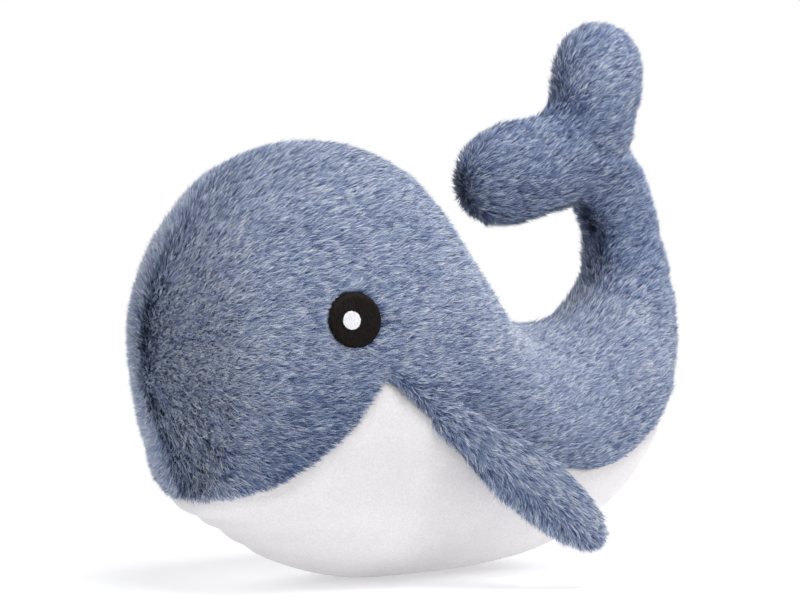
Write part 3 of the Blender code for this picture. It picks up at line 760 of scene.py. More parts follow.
# %% Stitched patches
thread_pitch, thread_relief, stitch_length = 0.40 * MM, 0.18 * MM, 4.2 * MM
samples_across, samples_along = 6, 36
thread_lean = math.radians(-12)
up_thread = np.array([math.sin(thread_lean), math.cos(thread_lean)])
over_threads = np.array([math.cos(thread_lean), -math.sin(thread_lean)])


def quadratic_terms(offset):
    """1, x, z, x^2, xz and z^2 for offsets in the side view."""
    x, z = offset[..., 0], offset[..., 1]
    return np.stack([np.ones_like(x), x, z, x * x, x * z, z * z], -1)


eye_low, eye_high = (np.array(corner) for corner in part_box("left_eye_patch"))
eye_aside = 1.6 * MM  # towards the tail, in the model's patch, where the photograph shows the eye
eye_middle = (eye_low + eye_high)[[0, 2]] / 2 + [eye_aside, 0.0]
around_eye = body_surface(np.linspace(1, 8, 90)[:, None], np.linspace(0.6, 1.4, 90)[None] * math.pi)
around_eye = around_eye.reshape(-1, 3)
around_eye = around_eye[np.linalg.norm(around_eye[:, [0, 2]] - eye_middle, axis=1) < 14 * MM]
terms = quadratic_terms(around_eye[:, [0, 2]] - eye_middle)
face_fit, *_ = np.linalg.lstsq(terms, around_eye[:, 1], rcond=None)


def stitched_patch(name, node, material, random, aside, lift, crown, sink, uneven):
    """Both sides' patches. At q across the threads, a thread reaches sqrt(radius^2 - q^2) up and down, give
    or take the unevenness. Its height over the fitted face is the lift, the crown and the thread's round
    back, less a dip where a stitch ends, less the sink at the rim."""
    low, high = (np.array(corner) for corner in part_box(node))
    centre, radius = (low + high)[[0, 2]] / 2 + [aside, 0.0], (high - low)[2] / 2
    threads = round(2 * radius / thread_pitch)
    q = np.linspace(-1, 1, threads * samples_across + 1)[:, None] * radius * 0.9999
    thread = np.minimum(np.arange(len(q)) // samples_across, threads - 1)
    share = np.linspace(1, 0, samples_along)[None]
    reach = np.sqrt(radius**2 - q**2)
    top, bottom = (random.normal(0, uneven, threads)[thread][:, None] for _ in range(2))
    t = (reach + top) * share - (reach + bottom) * (1 - share)
    flat = centre + q[..., None] * over_threads + t[..., None] * up_thread
    round_back = np.sqrt(1 - (2 * ((np.arange(len(q)) % samples_across) / samples_across) - 1) ** 2)[:, None]
    stitch = (t / stitch_length + random.random(threads)[thread][:, None]) % 1.0
    rim = np.clip((np.hypot(q, t) / radius - 0.84) / 0.16, 0, 1)
    height = lift + crown * (1 - (np.hypot(q, t) / radius) ** 2) + thread_relief * round_back
    height = height - 0.10 * MM * bump(stitch - 0.5, 0.09) - sink * rim**2
    face = quadratic_terms(flat - eye_middle) @ face_fit
    outer = np.stack([flat[..., 0], face - height, flat[..., 1]], -1)
    inner = np.stack([flat[..., 0], face + sink + 0.6 * MM, flat[..., 1]], -1)
    return [
        thick_panel(f"left_{name}", outer, material, False, inner),
        thick_panel(f"right_{name}", outer * mirror, material, True, inner * mirror),
    ]


def thread_material(name, roughness, dark, pale):
    """Rayon embroidery thread, twisted from bright filaments. Its gloss is broken up by the stitches, so it
    is weak. Painted glints: the base colour is painted paler and darker thread by thread, as each catches
    the light a little differently; the noise is as wide as a thread and as long as a stitch."""
    made, tree, shader = new_material(name, roughness, 0.0)
    shader.inputs["Specular IOR Level"].default_value = 0.11
    where = add(tree, "ShaderNodeTexCoord").outputs["Object"]
    lean = add(tree, "ShaderNodeMapping", {0: where, "Rotation": (0.0, -thread_lean, 0.0)}).outputs[0]
    size = (1 / (0.45 * MM), 1 / (4 * MM), 1 / (1.6 * MM))
    laid = add(tree, "ShaderNodeMapping", {0: lean, "Scale": size}).outputs[0]
    filament = add(tree, "ShaderNodeTexNoise", {"Vector": laid, "Scale": 1.0, "Detail": 2.0}).outputs[0]
    varied_colour = add(tree, "ShaderNodeValToRGB", {"Fac": filament}, [(0.35, dark), (0.70, pale)]).outputs[0]
    tree.links.new(varied_colour, shader.inputs["Base Color"])
    return made


black_thread = thread_material("black rayon thread", 0.6, "#060403", "#1e1815")
white_thread = thread_material("white rayon thread", 0.6, "#d9d8de", "#f4f3f7")
random = np.random.default_rng(5)
black = {"aside": eye_aside, "lift": 0.0, "crown": 0.6 * MM, "sink": 1.5 * MM, "uneven": 0.24 * MM}
white = {"aside": -0.8 * MM, "lift": 0.7 * MM, "crown": 0.3 * MM, "sink": 0.35 * MM, "uneven": 0.14 * MM}
eye_patches = stitched_patch("eye_stitches", "left_eye_patch", black_thread, random, **black)
eye_lights = stitched_patch("highlight_stitches", "left_eye_highlight", white_thread, random, **white)
for made in (*eye_patches, *eye_lights):
    tally(made)

# %% [markdown]
# ## Tail, fork and lobes
# On the real toy the side panels run on into the tail and both lobes of the fluke. Three swelling forms, the
# stalk and the two lobes, are laid into each other and remeshed as one skin, which rounds the crotches as
# stretched cloth does. The skin is then filled like the body.

# %% The stalk and lobes as one skin
lobe_width, lobe_thickness = 0.045, 0.0255
lobes = {"front_fluke": (190.0, 0.066), "top_fluke": (80.0, 0.058)}
# Place along the lobe, half width, half thickness
lobe_shares = np.array([
    (-0.060, 0.900, 0.860), (0.160, 0.930, 0.980), (0.380, 0.970, 1.000), (0.620, 1.010, 0.980),
    (0.790, 0.910, 0.860), (0.900, 0.710, 0.680), (0.970, 0.420, 0.420), (1.000, 0.000, 0.000),
])
droop = {"front_fluke": 2.5 * MM, "top_fluke": 0.0}  # how far the tip hangs below the lobe's straight line
web_reach, web_radius, web_thickness = 8 * MM, 18 * MM, 8 * MM
fork_row = section_rows[fork_section]
fork = np.array([(fork_row[0] + fork_row[2]) / 2, 0.0, (fork_row[1] + fork_row[3]) / 2])


def lobe_axes(degrees):
    """Unit vectors from the fork to the lobe's tip, and across the lobe in the side view."""
    lean = math.radians(degrees)
    return np.array([math.cos(lean), 0, math.sin(lean)]), np.array([-math.sin(lean), 0, math.cos(lean)])


def closed_rings(grid):
    """Points and faces of a tube of rings with a fan over each end."""
    rows, columns = grid.shape[:2]
    points = np.vstack([grid.reshape(-1, 3), grid[0].mean(0), grid[-1].mean(0)])
    around = np.arange(columns)
    onward = (around + 1) % columns
    last = (rows - 1) * columns
    first_fan = np.stack([np.full(columns, rows * columns), onward, around], 1)
    last_fan = np.stack([last + around, last + onward, np.full(columns, rows * columns + 1)], 1)
    return points, (grid_faces(rows, columns, closed=True), np.vstack([first_fan, last_fan]))


form_depth = pile_height
ring_angle = (np.arange(48) + 0.5) * 2 * math.pi / 48
stalk_s = np.linspace(11.4, 18.0, 60)[:, None]
stalk = body_surface(stalk_s, ring_angle[None]) - body_normal(stalk_s, ring_angle[None]) * form_depth
skin_forms = [closed_rings(stalk)]
for name, (degrees, length) in lobes.items():
    tipward, wide = lobe_axes(degrees)
    table = lobe_shares * [length - form_depth, lobe_width / 2 - form_depth, lobe_thickness / 2 - form_depth]
    half_out = table[:, 2, None, None] * power(np.cos(ring_angle))[None, :, None]
    half_up = table[:, 1, None, None] * power(np.sin(ring_angle))[None, :, None]
    hang = droop[name] * (lobe_shares[:, 0, None, None] ** 2) * wide
    rings = fork + table[:, 0, None, None] * tipward + half_out * np.array([0, 1, 0]) + half_up * wide + hang
    skin_forms.append(closed_rings(rings))

# The web between the lobes: a lens whose middle lies half way between them
halfway, beside = lobe_axes(sum(degrees for degrees, _ in lobes.values()) / 2)
lens_angle = np.linspace(-math.pi / 2, math.pi / 2, 17)[:, None, None]
round_lens = np.cos(ring_angle)[None, :, None] * halfway + np.sin(ring_angle)[None, :, None] * beside
lens = np.sin(lens_angle) * web_thickness * np.array([0, 1, 0]) + np.cos(lens_angle) * web_radius * round_lens
skin_forms.append(closed_rings(fork + web_reach * halfway + lens))

joined = bpy.data.objects.new("tail_form", bpy.data.meshes.new("tail_form"))
bpy.context.scene.collection.objects.link(joined)
shape = bmesh.new()
for points, face_sets in skin_forms:
    shape.from_mesh(new_mesh("tail_part", points, *face_sets))
shape.to_mesh(joined.data)
shape.free()
remesh = joined.modifiers.new("one skin", "REMESH")
remesh.mode, remesh.voxel_size = "VOXEL", 2.6 * MM
smooth = joined.modifiers.new("stretched", "SMOOTH")
smooth.factor, smooth.iterations = 0.5, 9


def settled(made):
    """The object's mesh with its modifiers worked in. The object itself goes away."""
    mesh = bpy.data.meshes.new_from_object(made.evaluated_get(bpy.context.evaluated_depsgraph_get()))
    bpy.data.objects.remove(made)
    return mesh


skin_mesh = settled(joined)
print("one skin of", len(skin_mesh.vertices), "points")

# %% Filling the tail
points, _, normals = arrays_of(skin_mesh)
corner_count = np.empty(len(skin_mesh.polygons), np.int32)
skin_mesh.polygons.foreach_get("loop_total", corner_count)
corner_index = np.empty(len(skin_mesh.loops), np.int32)
skin_mesh.loops.foreach_get("vertex_index", corner_index)
skin_quads = corner_index.reshape(-1, 4)
print("all four-sided:", bool((corner_count == 4).all()))
on_middle_seam = np.abs(points[:, 1]) < 1.0 * MM
near_body = points[:, 2] < section_rows[12][1] - 4 * MM  # below the back's edge at section 12
travel = pressed_out("tail_form", points, (skin_quads,), on_middle_seam | near_body)
points = points + travel
body_end = np.vstack([side_grid[-1], side_grid[-1] * mirror])
apart, which = nearest(points, body_end)
to_body = ((body_end[which] - points) * normals).sum(1) * bump(apart, 6 * MM)
print("brought to the body's edge:", (np.abs(to_body[apart < 2 * MM]).max() / MM).round(2), "mm at most")
points = points + normals * to_body[:, None]
groove = 0.2 * MM * bump(points[:, 1], groove_width)
points = points - normals * groove[:, None]
skin_mesh.vertices.foreach_set("co", points.astype(np.float32).ravel())
filled = bpy.data.objects.new("tail_filled", skin_mesh)
bpy.context.scene.collection.objects.link(filled)
finer = filled.modifiers.new("finer", "SUBSURF")
finer.levels = finer.render_levels = 1
skin_mesh = settled(filled)

# %% [markdown]
# ## Cutting the skin where it bends
# Each moving part needs a piece that can bend between the two bodies it joins. The one skin is cut on planes
# that lie between the hinges, where nothing bends, so that neighbours share their edge in every pose.


# %% Cut planes
def point3(x, z):
    """A point or direction of the side view, in the toy's middle plane."""
    return np.array([x, 0.0, z])


def hinge_place(name):
    """A point on the hinge of a joint."""
    return np.array(hinges[name]["pos_m"])


curl_place, wag_place = hinge_place("tail_curl"), hinge_place("tail_wag")
root_row, neck_row = section_rows[curl_section], section_rows[curl_section + 2]


def onward_of(row):
    """The unit vector up the tail, square to a section in the side view."""
    across = unit(row[2:4] - row[0:2])
    return point3(-across[1], across[0])


curl_onward, wag_onward = onward_of(root_row), onward_of(neck_row)
trunk_row = smooth_rows(section_rows, np.array([trunk_end]))[0]
# Between the curl and the wag: a line that clears what each of them bends
concave_end, convex_end = curl_place + point3(-0.0210, 0.0264), curl_place + point3(0.0180, 0.0170)
split_normal = unit(np.array([-(convex_end - concave_end)[2], 0.0, (convex_end - concave_end)[0]]))
# How far before and behind each hinge the cloth bends, in mm
bend_reach = {"tail_curl": (9.5, 5.0), "tail_wag": (5.0, 9.0), "fluke": (8.0, 8.0), "fin": (1.0, 10.0)}
trunk_place, trunk_onward = point3(*trunk_row[0:2]), onward_of(trunk_row)
under_body = 1.8 * MM  # the skin runs this far on under the body's cover, whose edge isn't quite in one plane
cuts = {
    "trunk": (trunk_place - trunk_onward * under_body, trunk_onward),
    "neck": (concave_end, split_normal),
}
for name, (degrees, length) in lobes.items():
    tipward, _ = lobe_axes(degrees)
    to_hinge = np.dot(hinge_place(f"{name}_flex") - fork, tipward)
    before_hinge = to_hinge - bend_reach["fluke"][0] * MM - 0.5 * MM
    cuts[name] = (fork + tipward * before_hinge, tipward)

shape = bmesh.new()
shape.from_mesh(skin_mesh)
for name, (place, normal) in cuts.items():
    bmesh.ops.bisect_plane(
        shape,
        geom=shape.verts[:] + shape.edges[:] + shape.faces[:],
        plane_co=place,
        plane_no=normal,
    )
bmesh.ops.triangulate(shape, faces=shape.faces)
shape.to_mesh(skin_mesh)
shape.free()
points, triangles, skin_normals = arrays_of(skin_mesh)
centres = points[triangles].mean(1)


def beyond(name):
    """Whether each triangle of the skin lies beyond a cut."""
    place, normal = cuts[name]
    return (centres - place) @ normal > 0


region = np.where(beyond("front_fluke"), 2, np.where(beyond("top_fluke"), 3, np.where(beyond("neck"), 1, 0)))
region[(region == 0) & ~beyond("trunk")] = -1  # the stalk's end inside the body
tail_names = ["tail_root", "tail_fork", "front_fluke", "top_fluke"]


def thick_cover(name, points, triangles, material):
    """A closed shell from part of a skin, with the cloth's thickness inside it."""
    used, corners = np.unique(triangles, return_inverse=True)
    made = new_object(name, new_mesh(name, points[used], corners.reshape(-1, 3)), material)
    layer = made.modifiers.new("cloth", "SOLIDIFY")
    layer.thickness, layer.offset = cloth_thickness, -1
    mesh = settled(made)
    mesh.materials.clear()
    return new_object(name, mesh, material)


skins = {}
for number, name in enumerate(tail_names):
    covers[name] = thick_cover(f"{name}_cover", points, triangles[region == number], plush_back)
    skins[name] = (points, triangles[region == number], skin_normals)
    tally(covers[name])

# %% [markdown]
# ## Fins
# Each fin is two small panels sewn round the edge, turned and lightly filled, then caught in the side seam.
# It is a flat tube of superellipse rings that widens towards the end and closes in a round tip. Its root is
# sunk in the side, as if the seam held it.

# %% Fins
fin_length, fin_width, fin_thickness, fin_pile = 0.084, 0.029, 0.013, 3.9 * MM
fin_droop, fin_splay = math.radians(37), math.radians(13)
# Place along the fin, half width, half thickness, and how far the middle lies towards the leading edge
fin_shares = np.array([
    (-0.140, 0.380, 0.700, 0.00), (0.000, 0.440, 0.800, 0.00), (0.160, 0.600, 0.950, 0.00),
    (0.360, 0.880, 1.000, 0.00), (0.570, 0.980, 1.000, 0.01), (0.760, 0.860, 0.920, 0.06),
    (0.890, 0.650, 0.760, 0.12), (0.970, 0.370, 0.460, 0.15), (1.000, 0.000, 0.000, 0.16),
])


def fin_axes():
    """Unit vectors of the left fin: to the tip, out of the face, and down to the leading edge."""
    flat = math.cos(fin_droop)
    tipward = np.array([flat * math.cos(fin_splay), -flat * math.sin(fin_splay), -math.sin(fin_droop)])
    outward = unit(np.array([0, -1.0, 0]) - np.dot([0, -1.0, 0], tipward) * tipward)
    return tipward, outward, np.cross(tipward, outward)


fin_tipward, fin_outward, fin_leading = fin_axes()
fin_place = hinge_place("left_fin_flap")
root_sink, sink_start, sink_length = 5.5 * MM, 5 * MM, 11 * MM


def fin_surface(u, angle, depth):
    """Place + tipward x along + outward x half thickness x cos + leading x half width x sin, from the table,
    less the root's sink, which grows from none at its start to all of it a sink length nearer the body."""
    padded = np.vstack([2 * fin_shares[0] - fin_shares[1], fin_shares, 2 * fin_shares[-1] - fin_shares[-2]])
    i = np.clip(np.floor(u).astype(int), 0, len(fin_shares) - 2)
    rows = between(*(padded[i + k] for k in range(4)), (u - i)[:, None])
    size = np.array([fin_length - depth, fin_width / 2 - depth, fin_thickness / 2 - depth, fin_width / 2])
    along, half_width, half_thick, shift = (np.maximum(rows * size, [-1, 0, 0, 0])).T[:, :, None, None]
    round_out, round_up = power(np.cos(angle))[None, :, None], power(np.sin(angle))[None, :, None]
    across = shift + half_width * round_up
    out = half_thick * round_out - root_sink * np.clip((sink_start - along) / sink_length, 0, 1)
    return fin_place + along * fin_tipward + out * fin_outward + across * fin_leading


fin_u = np.concatenate([np.linspace(0.55, 7, 60), 8 - np.linspace(1, 0, 14)[1:] ** 2])
fin_angle = (np.arange(56) + 0.5) * 2 * math.pi / 56
fin_grid = fin_surface(fin_u, fin_angle, fin_pile)
fin_points, fin_faces = closed_rings(fin_grid)
for side, turned in sides.items():
    face_sets = fin_faces if side == "left" else tuple(faces[:, ::-1] for faces in fin_faces)
    mesh = welded(new_mesh(f"{side}_fin_cover", fin_points * turned, *face_sets))
    covers[f"{side}_fin"] = new_object(f"{side}_fin_cover", mesh, plush_back)
    skins[f"{side}_fin"] = arrays_of(mesh)
    tally(covers[f"{side}_fin"])

# %% [markdown]
# ## The pile
# A knitting machine pulls the fibres of a plush through its back in tufts, and brushing and shearing leave
# them lying one way. Here each fibre is a flat blade of three triangles with a bend in it, wider than the
# real 0.05 mm so that it shows. Blades of one tuft lean together. The whole coat is worked out as arrays: a
# root on a random place of the cloth, the way the coat lies there, and how steeply it stands.

# %% Pile material
# Polyester fibres of several dyes, brushed together. The map's first number is the fibre's own tone, from the
# dark dye to the pale one, and its second runs from root to tip: the roots lie in each other's shade.
pile_material, tree, shader = new_material("brushed polyester pile", 0.8, 0.15, 0.4)
uv = add(tree, "ShaderNodeUVMap", uv_map="OFBake").outputs["UV"]
parts = add(tree, "ShaderNodeSeparateXYZ", {0: uv}).outputs
dyes = [(0.0, "#31426a"), (0.25, "#6277a2"), (0.5, "#99aac9"), (0.75, "#c4cdde"), (1.0, "#f2f4f7")]
depths = [(0.0, "#8a96b0"), (0.5, "#bcc4d3"), (0.8, "#f4f5f7"), (1.0, "#ffffff")]
dye = add(tree, "ShaderNodeValToRGB", {"Fac": parts["X"]}, dyes).outputs[0]
depth_tint = add(tree, "ShaderNodeValToRGB", {"Fac": parts["Y"]}, depths).outputs[0]
colour = add(tree, "ShaderNodeMix", {"Factor": 1.0, 6: dye, 7: depth_tint}, **multiplied)
tree.links.new(colour.outputs[2], shader.inputs["Base Color"])
print("pile of", len(dyes), "dyes")


# %% Planting the pile
most_in_piece = 60000


def roots_on(points, triangles, normals, per_square_mm, random):
    """Random places on triangles, even over their area, and the cloth's normals there."""
    a, b, c = (points[triangles[:, k]] for k in range(3))
    area = np.linalg.norm(np.cross(b - a, c - a), axis=1) / 2
    count = int(area.sum() / MM**2 * per_square_mm)
    pick = random.choice(len(area), count, p=area / area.sum())
    u, v = random.random((2, count))
    u, v = np.where(u + v > 1, 1 - u, u), np.where(u + v > 1, 1 - v, v)
    weights = np.stack([1 - u - v, u, v], 1)[..., None]
    corners = triangles[pick]
    return (points[corners] * weights).sum(1), unit((normals[corners] * weights).sum(1))


def clouds_at(places, size):
    """A smooth pattern from about -1 to 1: three sine waves in different directions, two of them bent."""
    x, y, z = (places / size).T
    waves = np.sin(x + 1.3 * np.sin(1.7 * z + 0.6)) + np.sin(1.3 * z - 0.8 * y + np.sin(2.1 * x))
    return (waves + np.sin(1.9 * y + x)) / 3


def turned_along(flow, normals):
    """The flow laid along the cloth, and how long it was there: short where it runs into the cloth."""
    flat = flow - (flow * normals).sum(1, keepdims=True) * normals
    size = np.linalg.norm(flat, axis=1, keepdims=True)
    return flat / np.maximum(size, 1e-9), size[:, 0]


def pile(name, roots, normals, flow, length, rise, random, width=0.29 * MM, tuft=0.95 * MM, shade=0.0):
    """Blades from roots. Each rises at rise + 14 degrees for half its length and at rise - 10 for the rest,
    and its tip is drawn up to 28 % of the way to its tuft's middle. Where the flow is short, the pile stands
    up, shorter and more curled, and is painted paler as painted light. The shade, painted light and shade,
    is added to the fibres' tone: below 0 they are darker."""
    along, size = turned_along(flow, normals)
    warped = roots / tuft
    cell = np.floor(warped + 0.4 * np.sin(2.3 * warped[:, [1, 2, 0]])).astype(int)
    _, tuft_of = np.unique(cell, axis=0, return_inverse=True)
    tuft_of = tuft_of.ravel()
    tufts = tuft_of.max() + 1
    members = np.bincount(tuft_of)[:, None]

    def spread(per_tuft, per_fibre):
        """A random number for each fibre, partly shared by its tuft."""
        return random.normal(0, per_tuft, tufts)[tuft_of] + random.normal(0, per_fibre, len(roots))

    def drawn_in(places, share):
        """The places moved by a share of the way to the middle of their tuft."""
        middles = np.stack([np.bincount(tuft_of, places[:, k]) for k in range(3)], 1) / members
        return places * (1 - share) + middles[tuft_of] * share

    standing = 1 - np.clip(size, 0, 1)
    lean = spread(0.17, 0.17) * (1 + 1.4 * standing)
    along = unit(along + np.cross(normals, along) * lean[:, None])
    rise = rise + 26 * standing + spread(5, 5)
    lengths = (length * (1 - 0.28 * standing) * (1 + spread(0.06, 0.10)))[:, None]

    def heading(along, degrees):
        turn = np.radians(degrees)[:, None]
        return along * np.cos(turn) + normals * np.sin(turn)

    curl = np.cross(normals, along) * (spread(0.08, 0.20) * (1 + 2.5 * standing))[:, None]
    bend = roots + heading(unit(along - curl), rise + 14) * lengths / 2
    tip = bend + heading(unit(along + curl), rise - 10) * lengths / 2
    tip = drawn_in(tip, 0.28 - 0.20 * standing[:, None])
    bend = drawn_in(bend, 0.10)

    heading_now = unit(tip - roots)
    face = unit(np.cross(heading_now, normals))
    roll = random.normal(0, 0.5, len(roots))[:, None]
    half = (face * np.cos(roll) + np.cross(face, heading_now) * np.sin(roll)) * width / 2
    corners = np.stack([roots - half, roots + half, bend - half * 0.9, bend + half * 0.9, tip], 1)
    shading = unit(normals * 0.85 + heading_now * 0.15)

    # Painted light: standing pile is painted paler, and the shade adds painted light and shade
    tone = 0.50 + spread(0.16, 0.25) + 0.04 * clouds_at(roots, 6 * MM) + 0.12 * standing + shade
    tone = np.clip(tone, 0.03, 0.97)
    made = []
    groups = np.array_split(np.argsort(roots[:, 0], kind="stable"), math.ceil(len(roots) / most_in_piece))
    for number, group in enumerate(groups):
        base = np.arange(len(group))[:, None] * 5
        quads, tris = base + np.array([[0, 1, 3, 2]]), base + np.array([[2, 3, 4]])
        label = name if len(groups) == 1 else f"{name}_{number + 1}"
        mesh = new_mesh(label, corners[group].reshape(-1, 3), quads, tris)
        map_layer = mesh.uv_layers.new(name="OFBake")
        u, v = np.array([-1, 1, -1, 1, 0]) * 0.006, np.array([0, 0, 0.5, 0.5, 1.0])
        per_point = np.stack([tone[group, None] + u, np.broadcast_to(v, (len(group), 5))], 2).reshape(-1, 2)
        order = np.concatenate([quads.ravel(), tris.ravel()])
        map_layer.data.foreach_set("uv", per_point[order].astype(np.float32).ravel())
        blades = new_object(label, mesh, pile_material)
        mesh.normals_split_custom_set_from_vertices(np.repeat(shading[group], 5, 0).astype(np.float32))
        made.append(blades)
    print(name, len(roots), "fibres in", len(groups), "pieces")
    return made


# %% [markdown]
# ## Which way the pile lies
# A panel is cut so that its pile runs from the nose up and back. Where two panels meet, the seam pulls the
# cloth in and the pile parts; along the belly seam it hangs over the white. Round the eye the stitches press
# the pile aside. On a nose or a tip that faces against the pile it stands up in a whorl.

# %% Pile of body and tail
eye_radius = (eye_high - eye_low)[2] / 2
pile_length, tail_pile_length = 6.2 * MM, 5.5 * MM
pile_rise, tail_pile_rise, fin_pile_rise = 28.0, 30.0, 20.0  # degrees between the fibres and the cloth
fibres_per_square_mm = 6.2


def panel_lie(roots):
    """The lie of the pile: 9 degrees over level on the head, 24 on the flank, and 36 on tail and lobes."""
    back = eased((roots[:, :1] + 15 * MM) / (60 * MM))
    up_tail = eased((roots[:, 2:3] - 90 * MM) / (60 * MM)) * (roots[:, :1] > 50 * MM)
    lie = np.radians(9 + 15 * back + 12 * up_tail)
    return np.hstack([np.cos(lie), np.zeros_like(lie), np.sin(lie)])


def parted(roots, width, reach):
    """Sideways from the middle seam: 0 on it, nearly 1 beyond the width, and fading at the reach."""
    aside = roots[:, 1] / np.hypot(roots[:, 1], width) * bump(roots[:, 1], reach)
    return aside[:, None] * np.array([0.0, 1.0, 0.0])


def body_flow(roots, normals):
    """The panel's lie, turned away from the middle seam, most of all on the face, down a little at the chin,
    and over the belly seam square to it. Also the share of its length that it keeps where the stitches hold
    it, and how steeply it rises: in the fringe behind the seam's peak it stands out over the white."""
    left = roots.copy()
    left[:, 1] = -np.abs(left[:, 1])
    seam, which = nearest(left, seam_points)
    across = seam_across[which] * np.where(roots[:, 1:2] > 0, mirror, 1.0)
    behind_peak = bump(roots[:, :1] + 30 * MM, 17 * MM)
    over_seam = 0.7 * bump(seam, 2.8 * MM)[:, None] * across
    from_stitches = np.sqrt(np.maximum(seam**2 - seam_depth**2, 0))
    fringe = bump(from_stitches, 2.6 * MM) * behind_peak[:, 0]
    ahead = np.clip((roots[:, :1] - nose[0]) / (60 * MM), 0, 1)
    chin = np.clip((80 * MM - roots[:, 2:3]) / (50 * MM), 0, 1) * (1 - ahead)
    aside = parted(roots, 5 * MM, 34 * MM) * (0.12 + 0.75 * (1 - ahead))
    flow = panel_lie(roots) + aside - chin * np.array([0, 0, 0.45]) + over_seam
    flow = flow + 2.6 * fringe[:, None] * across
    return flow, 1 - 0.55 * bump(seam, 4.5 * MM) + 0.18 * fringe, pile_rise + 12.0 * fringe


def round_eye(roots, flow):
    """Which roots are off the eye, their flow turned aside near it, and how much of their length they keep:
    the stitches trap the ends of the pile that would lie over them."""
    from_eye = (roots - [eye_middle[0], 0, eye_middle[1]]) * [1, 0, 1]
    far = np.linalg.norm(from_eye, axis=1)
    on_side = np.abs(roots[:, 1]) > 20 * MM
    free = ~on_side | (far > eye_radius * 0.97)
    aside = np.where(on_side, np.clip(1 - (far - eye_radius) / (5 * MM), 0, 1), 0)[:, None]
    towards = np.clip(-(unit(from_eye) * unit(flow)).sum(1), 0, 1)
    kept = 1 - 0.62 * aside[:, 0] * towards
    return free, flow * (1 - 0.5 * aside) + unit(from_eye) * aside * 0.3, kept


def painted_body_shading(roots):
    """Painted light and shade in the coat's tone: painted light on the upper flank and on the nose, and
    painted shade on the lower flank, low on the cheek and down the face's seam. Along and height are in mm."""
    along, height = roots[:, 0] / MM, roots[:, 2] / MM
    cheek = np.clip((100 - height) / 45, 0, 1) * np.clip((along + 112) / 30, 0, 1)
    cheek = cheek * np.clip((20 - along) / 40, 0, 1)
    flank = np.clip((along + 40) / 40, 0, 1) * (0.13 * np.clip((height - 62) / 35, 0, 1) - 0.04)
    painted_nose_light = 0.07 * np.clip((-75 - along) / 25, 0, 1)
    painted_seam_shade = bump(roots[:, 1], 9 * MM) * np.clip((-65 - along) / 40, 0, 1)
    return flank - 0.28 * cheek + painted_nose_light - 0.17 * painted_seam_shade


piles = {}
for side, turned in sides.items():
    random = np.random.default_rng(11 if side == "left" else 12)
    grid = side_grid * turned
    normals = unit(np.cross(np.gradient(grid, axis=1), np.gradient(grid, axis=0))) * turned[1]
    quads = grid_faces(*grid.shape[:2])
    triangles = np.vstack([quads[:, [0, 1, 2]], quads[:, [0, 2, 3]]])
    cloth = (grid.reshape(-1, 3), triangles, normals.reshape(-1, 3))
    roots, root_normals = roots_on(*cloth, fibres_per_square_mm, random)
    flow, held_down, rise = body_flow(roots, root_normals)
    free, flow, kept = round_eye(roots, flow)
    # The shade here is painted light and shade in the coat's tone
    length, shade = pile_length * (kept * held_down)[free], painted_body_shading(roots[free])
    planted = (roots[free], root_normals[free], flow[free])
    piles[side] = pile(f"{side}_side_pile", *planted, length, rise[free], random, shade=shade)

# Painted shade: the tail's coat is painted darker, most of all at the fork and on the forward lobe
painted_tail_shading = {"tail_root": -0.08, "tail_fork": -0.13, "front_fluke": -0.13, "top_fluke": -0.05}
for number, name in enumerate(tail_names):
    random = np.random.default_rng(21 + number)
    roots, root_normals = roots_on(*skins[name], fibres_per_square_mm, random)
    flow = panel_lie(roots) + 0.25 * parted(roots, 6 * MM, 12 * MM)
    shade = np.full(len(roots), painted_tail_shading[name])
    if name in ("tail_root", "tail_fork"):
        # More painted shade in the hollow towards the head, and painted light, as pale as the flank, where it
        # starts
        shade -= 0.18 * np.clip(-root_normals[:, 0], 0, 1)
        shade += 0.13 * bump(np.maximum((roots - trunk_place) @ trunk_onward, 0), 16 * MM)
    planted = (roots, root_normals, flow)
    piles[name] = pile(f"{name}_pile", *planted, tail_pile_length, tail_pile_rise, random, shade=shade)


# %% Pile of the fins
fin_pile_length, fin_tuft = 6.2 * MM, 1.2 * MM
# Places across the fin, in half widths towards the leading edge, and the pile's turn there in degrees
fin_places, fin_turns = [-1.0, 0.1, 0.3, 0.6, 1.0], [-4.0, 0.0, 10.0, 60.0, 78.0]


def fin_flow(roots, turned):
    """To the tip, and turned down over the leading edge, most of all at its rim."""
    across = (roots * turned - fin_place) @ fin_leading / (fin_width / 2)
    turn = np.radians(np.interp(across, fin_places, fin_turns))[:, None]
    return (fin_tipward * np.cos(turn) + fin_leading * np.sin(turn)) * turned


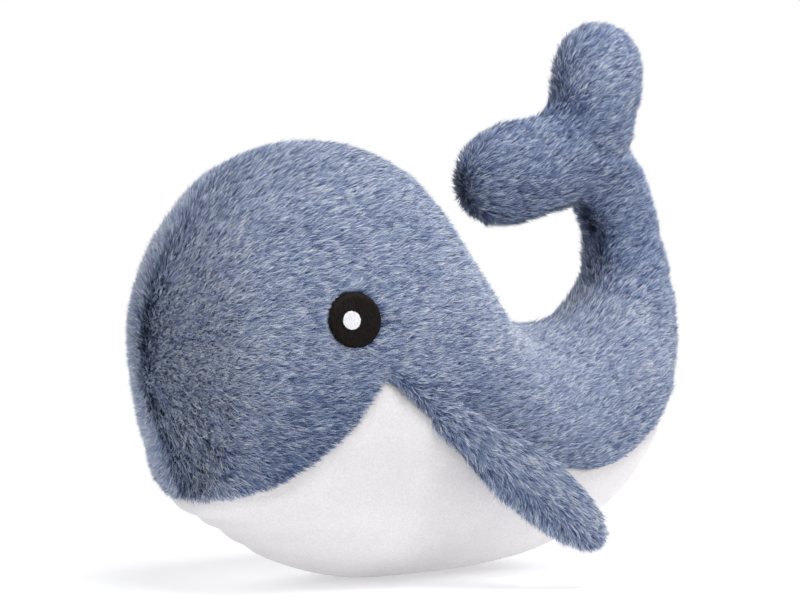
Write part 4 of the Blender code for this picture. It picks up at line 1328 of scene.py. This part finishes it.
for side, turned in sides.items():
    random = np.random.default_rng(31 if side == "left" else 32)
    roots, root_normals = roots_on(*skins[f"{side}_fin"], fibres_per_square_mm, random)
    free = (roots * turned - fin_place) @ fin_tipward > -4.0 * MM
    roots, root_normals = roots[free], root_normals[free]
    flow = fin_flow(roots, turned)
    to_tip = (roots * turned - fin_place) @ fin_tipward / fin_length
    to_rim = (roots * turned - fin_place) @ fin_leading / (fin_width / 2)
    # Painted light towards the tip, and painted shade along the ridge where the pile divides
    shade = 0.03 + 0.12 * np.clip(to_tip, 0, 1) - 0.12 * bump(to_rim - 0.45, 0.35)
    planted = (roots, root_normals, flow, fin_pile_length, fin_pile_rise, random)
    piles[f"{side}_fin"] = pile(f"{side}_fin_pile", *planted, tuft=fin_tuft, shade=shade)

# %% [markdown]
# ## What each piece rides on
# The body's panels and their pile ride on the body. For each of the tail's pieces and the fins, the two
# bodies that it joins and where between them it starts and ends to turn are worked out, and it stays where it
# was built.
# Each piece hides the panels and the filling of the model that it covers.

# %% Bodies and hinges
replaced = {
    "left": ["left_side_panel"],
    "right": ["right_side_panel"],
    "belly": ["belly_panel", "body_filling"],
    "tail_root": ["tail_left_panel", "tail_right_panel", "tail_filling"],
    "tail_fork": ["fork_left_panel", "fork_right_panel", "fork_filling"],
    "front_fluke": ["front_fluke_left_panel", "front_fluke_right_panel", "front_fluke_filling"],
    "top_fluke": ["top_fluke_left_panel", "top_fluke_right_panel", "top_fluke_filling"],
    "left_fin": ["left_fin_upper_panel", "left_fin_under_panel", "left_fin_filling"],
    "right_fin": ["right_fin_upper_panel", "right_fin_under_panel", "right_fin_filling"],
}


def bend(body_a, body_b, hinge, onward, reach):
    """A piece's two bodies, and where between them it starts and ends to turn."""
    before, behind = bend_reach[reach]
    return body_a, body_b, hinge - onward * before * MM, hinge + onward * behind * MM


bends = {
    "tail_root": bend("body", "tail", curl_place, curl_onward, "tail_curl"),
    "tail_fork": bend("tail", "fork", wag_place, wag_onward, "tail_wag"),
}
for name, (degrees, _) in lobes.items():
    bends[name] = bend("fork", name, hinge_place(f"{name}_flex"), lobe_axes(degrees)[0], "fluke")
for side, turned in sides.items():
    bends[f"{side}_fin"] = bend("body", f"{side}_fin", fin_place * turned, fin_tipward * turned, "fin")

for name, cover in covers.items():
    for piece in [cover, *piles.get(name, [])]:
        if name in bends:
            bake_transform(piece)
        else:
            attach(piece, "body")
    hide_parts(*replaced[name])

# %% Eyes on the body
for side, patch, light in zip(("left", "right"), eye_patches, eye_lights):
    for made, slot, node in ((patch, "black_thread", "eye_patch"), (light, "white_thread", "eye_highlight")):
        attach(made, "body")
        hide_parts(f"{side}_{node}")
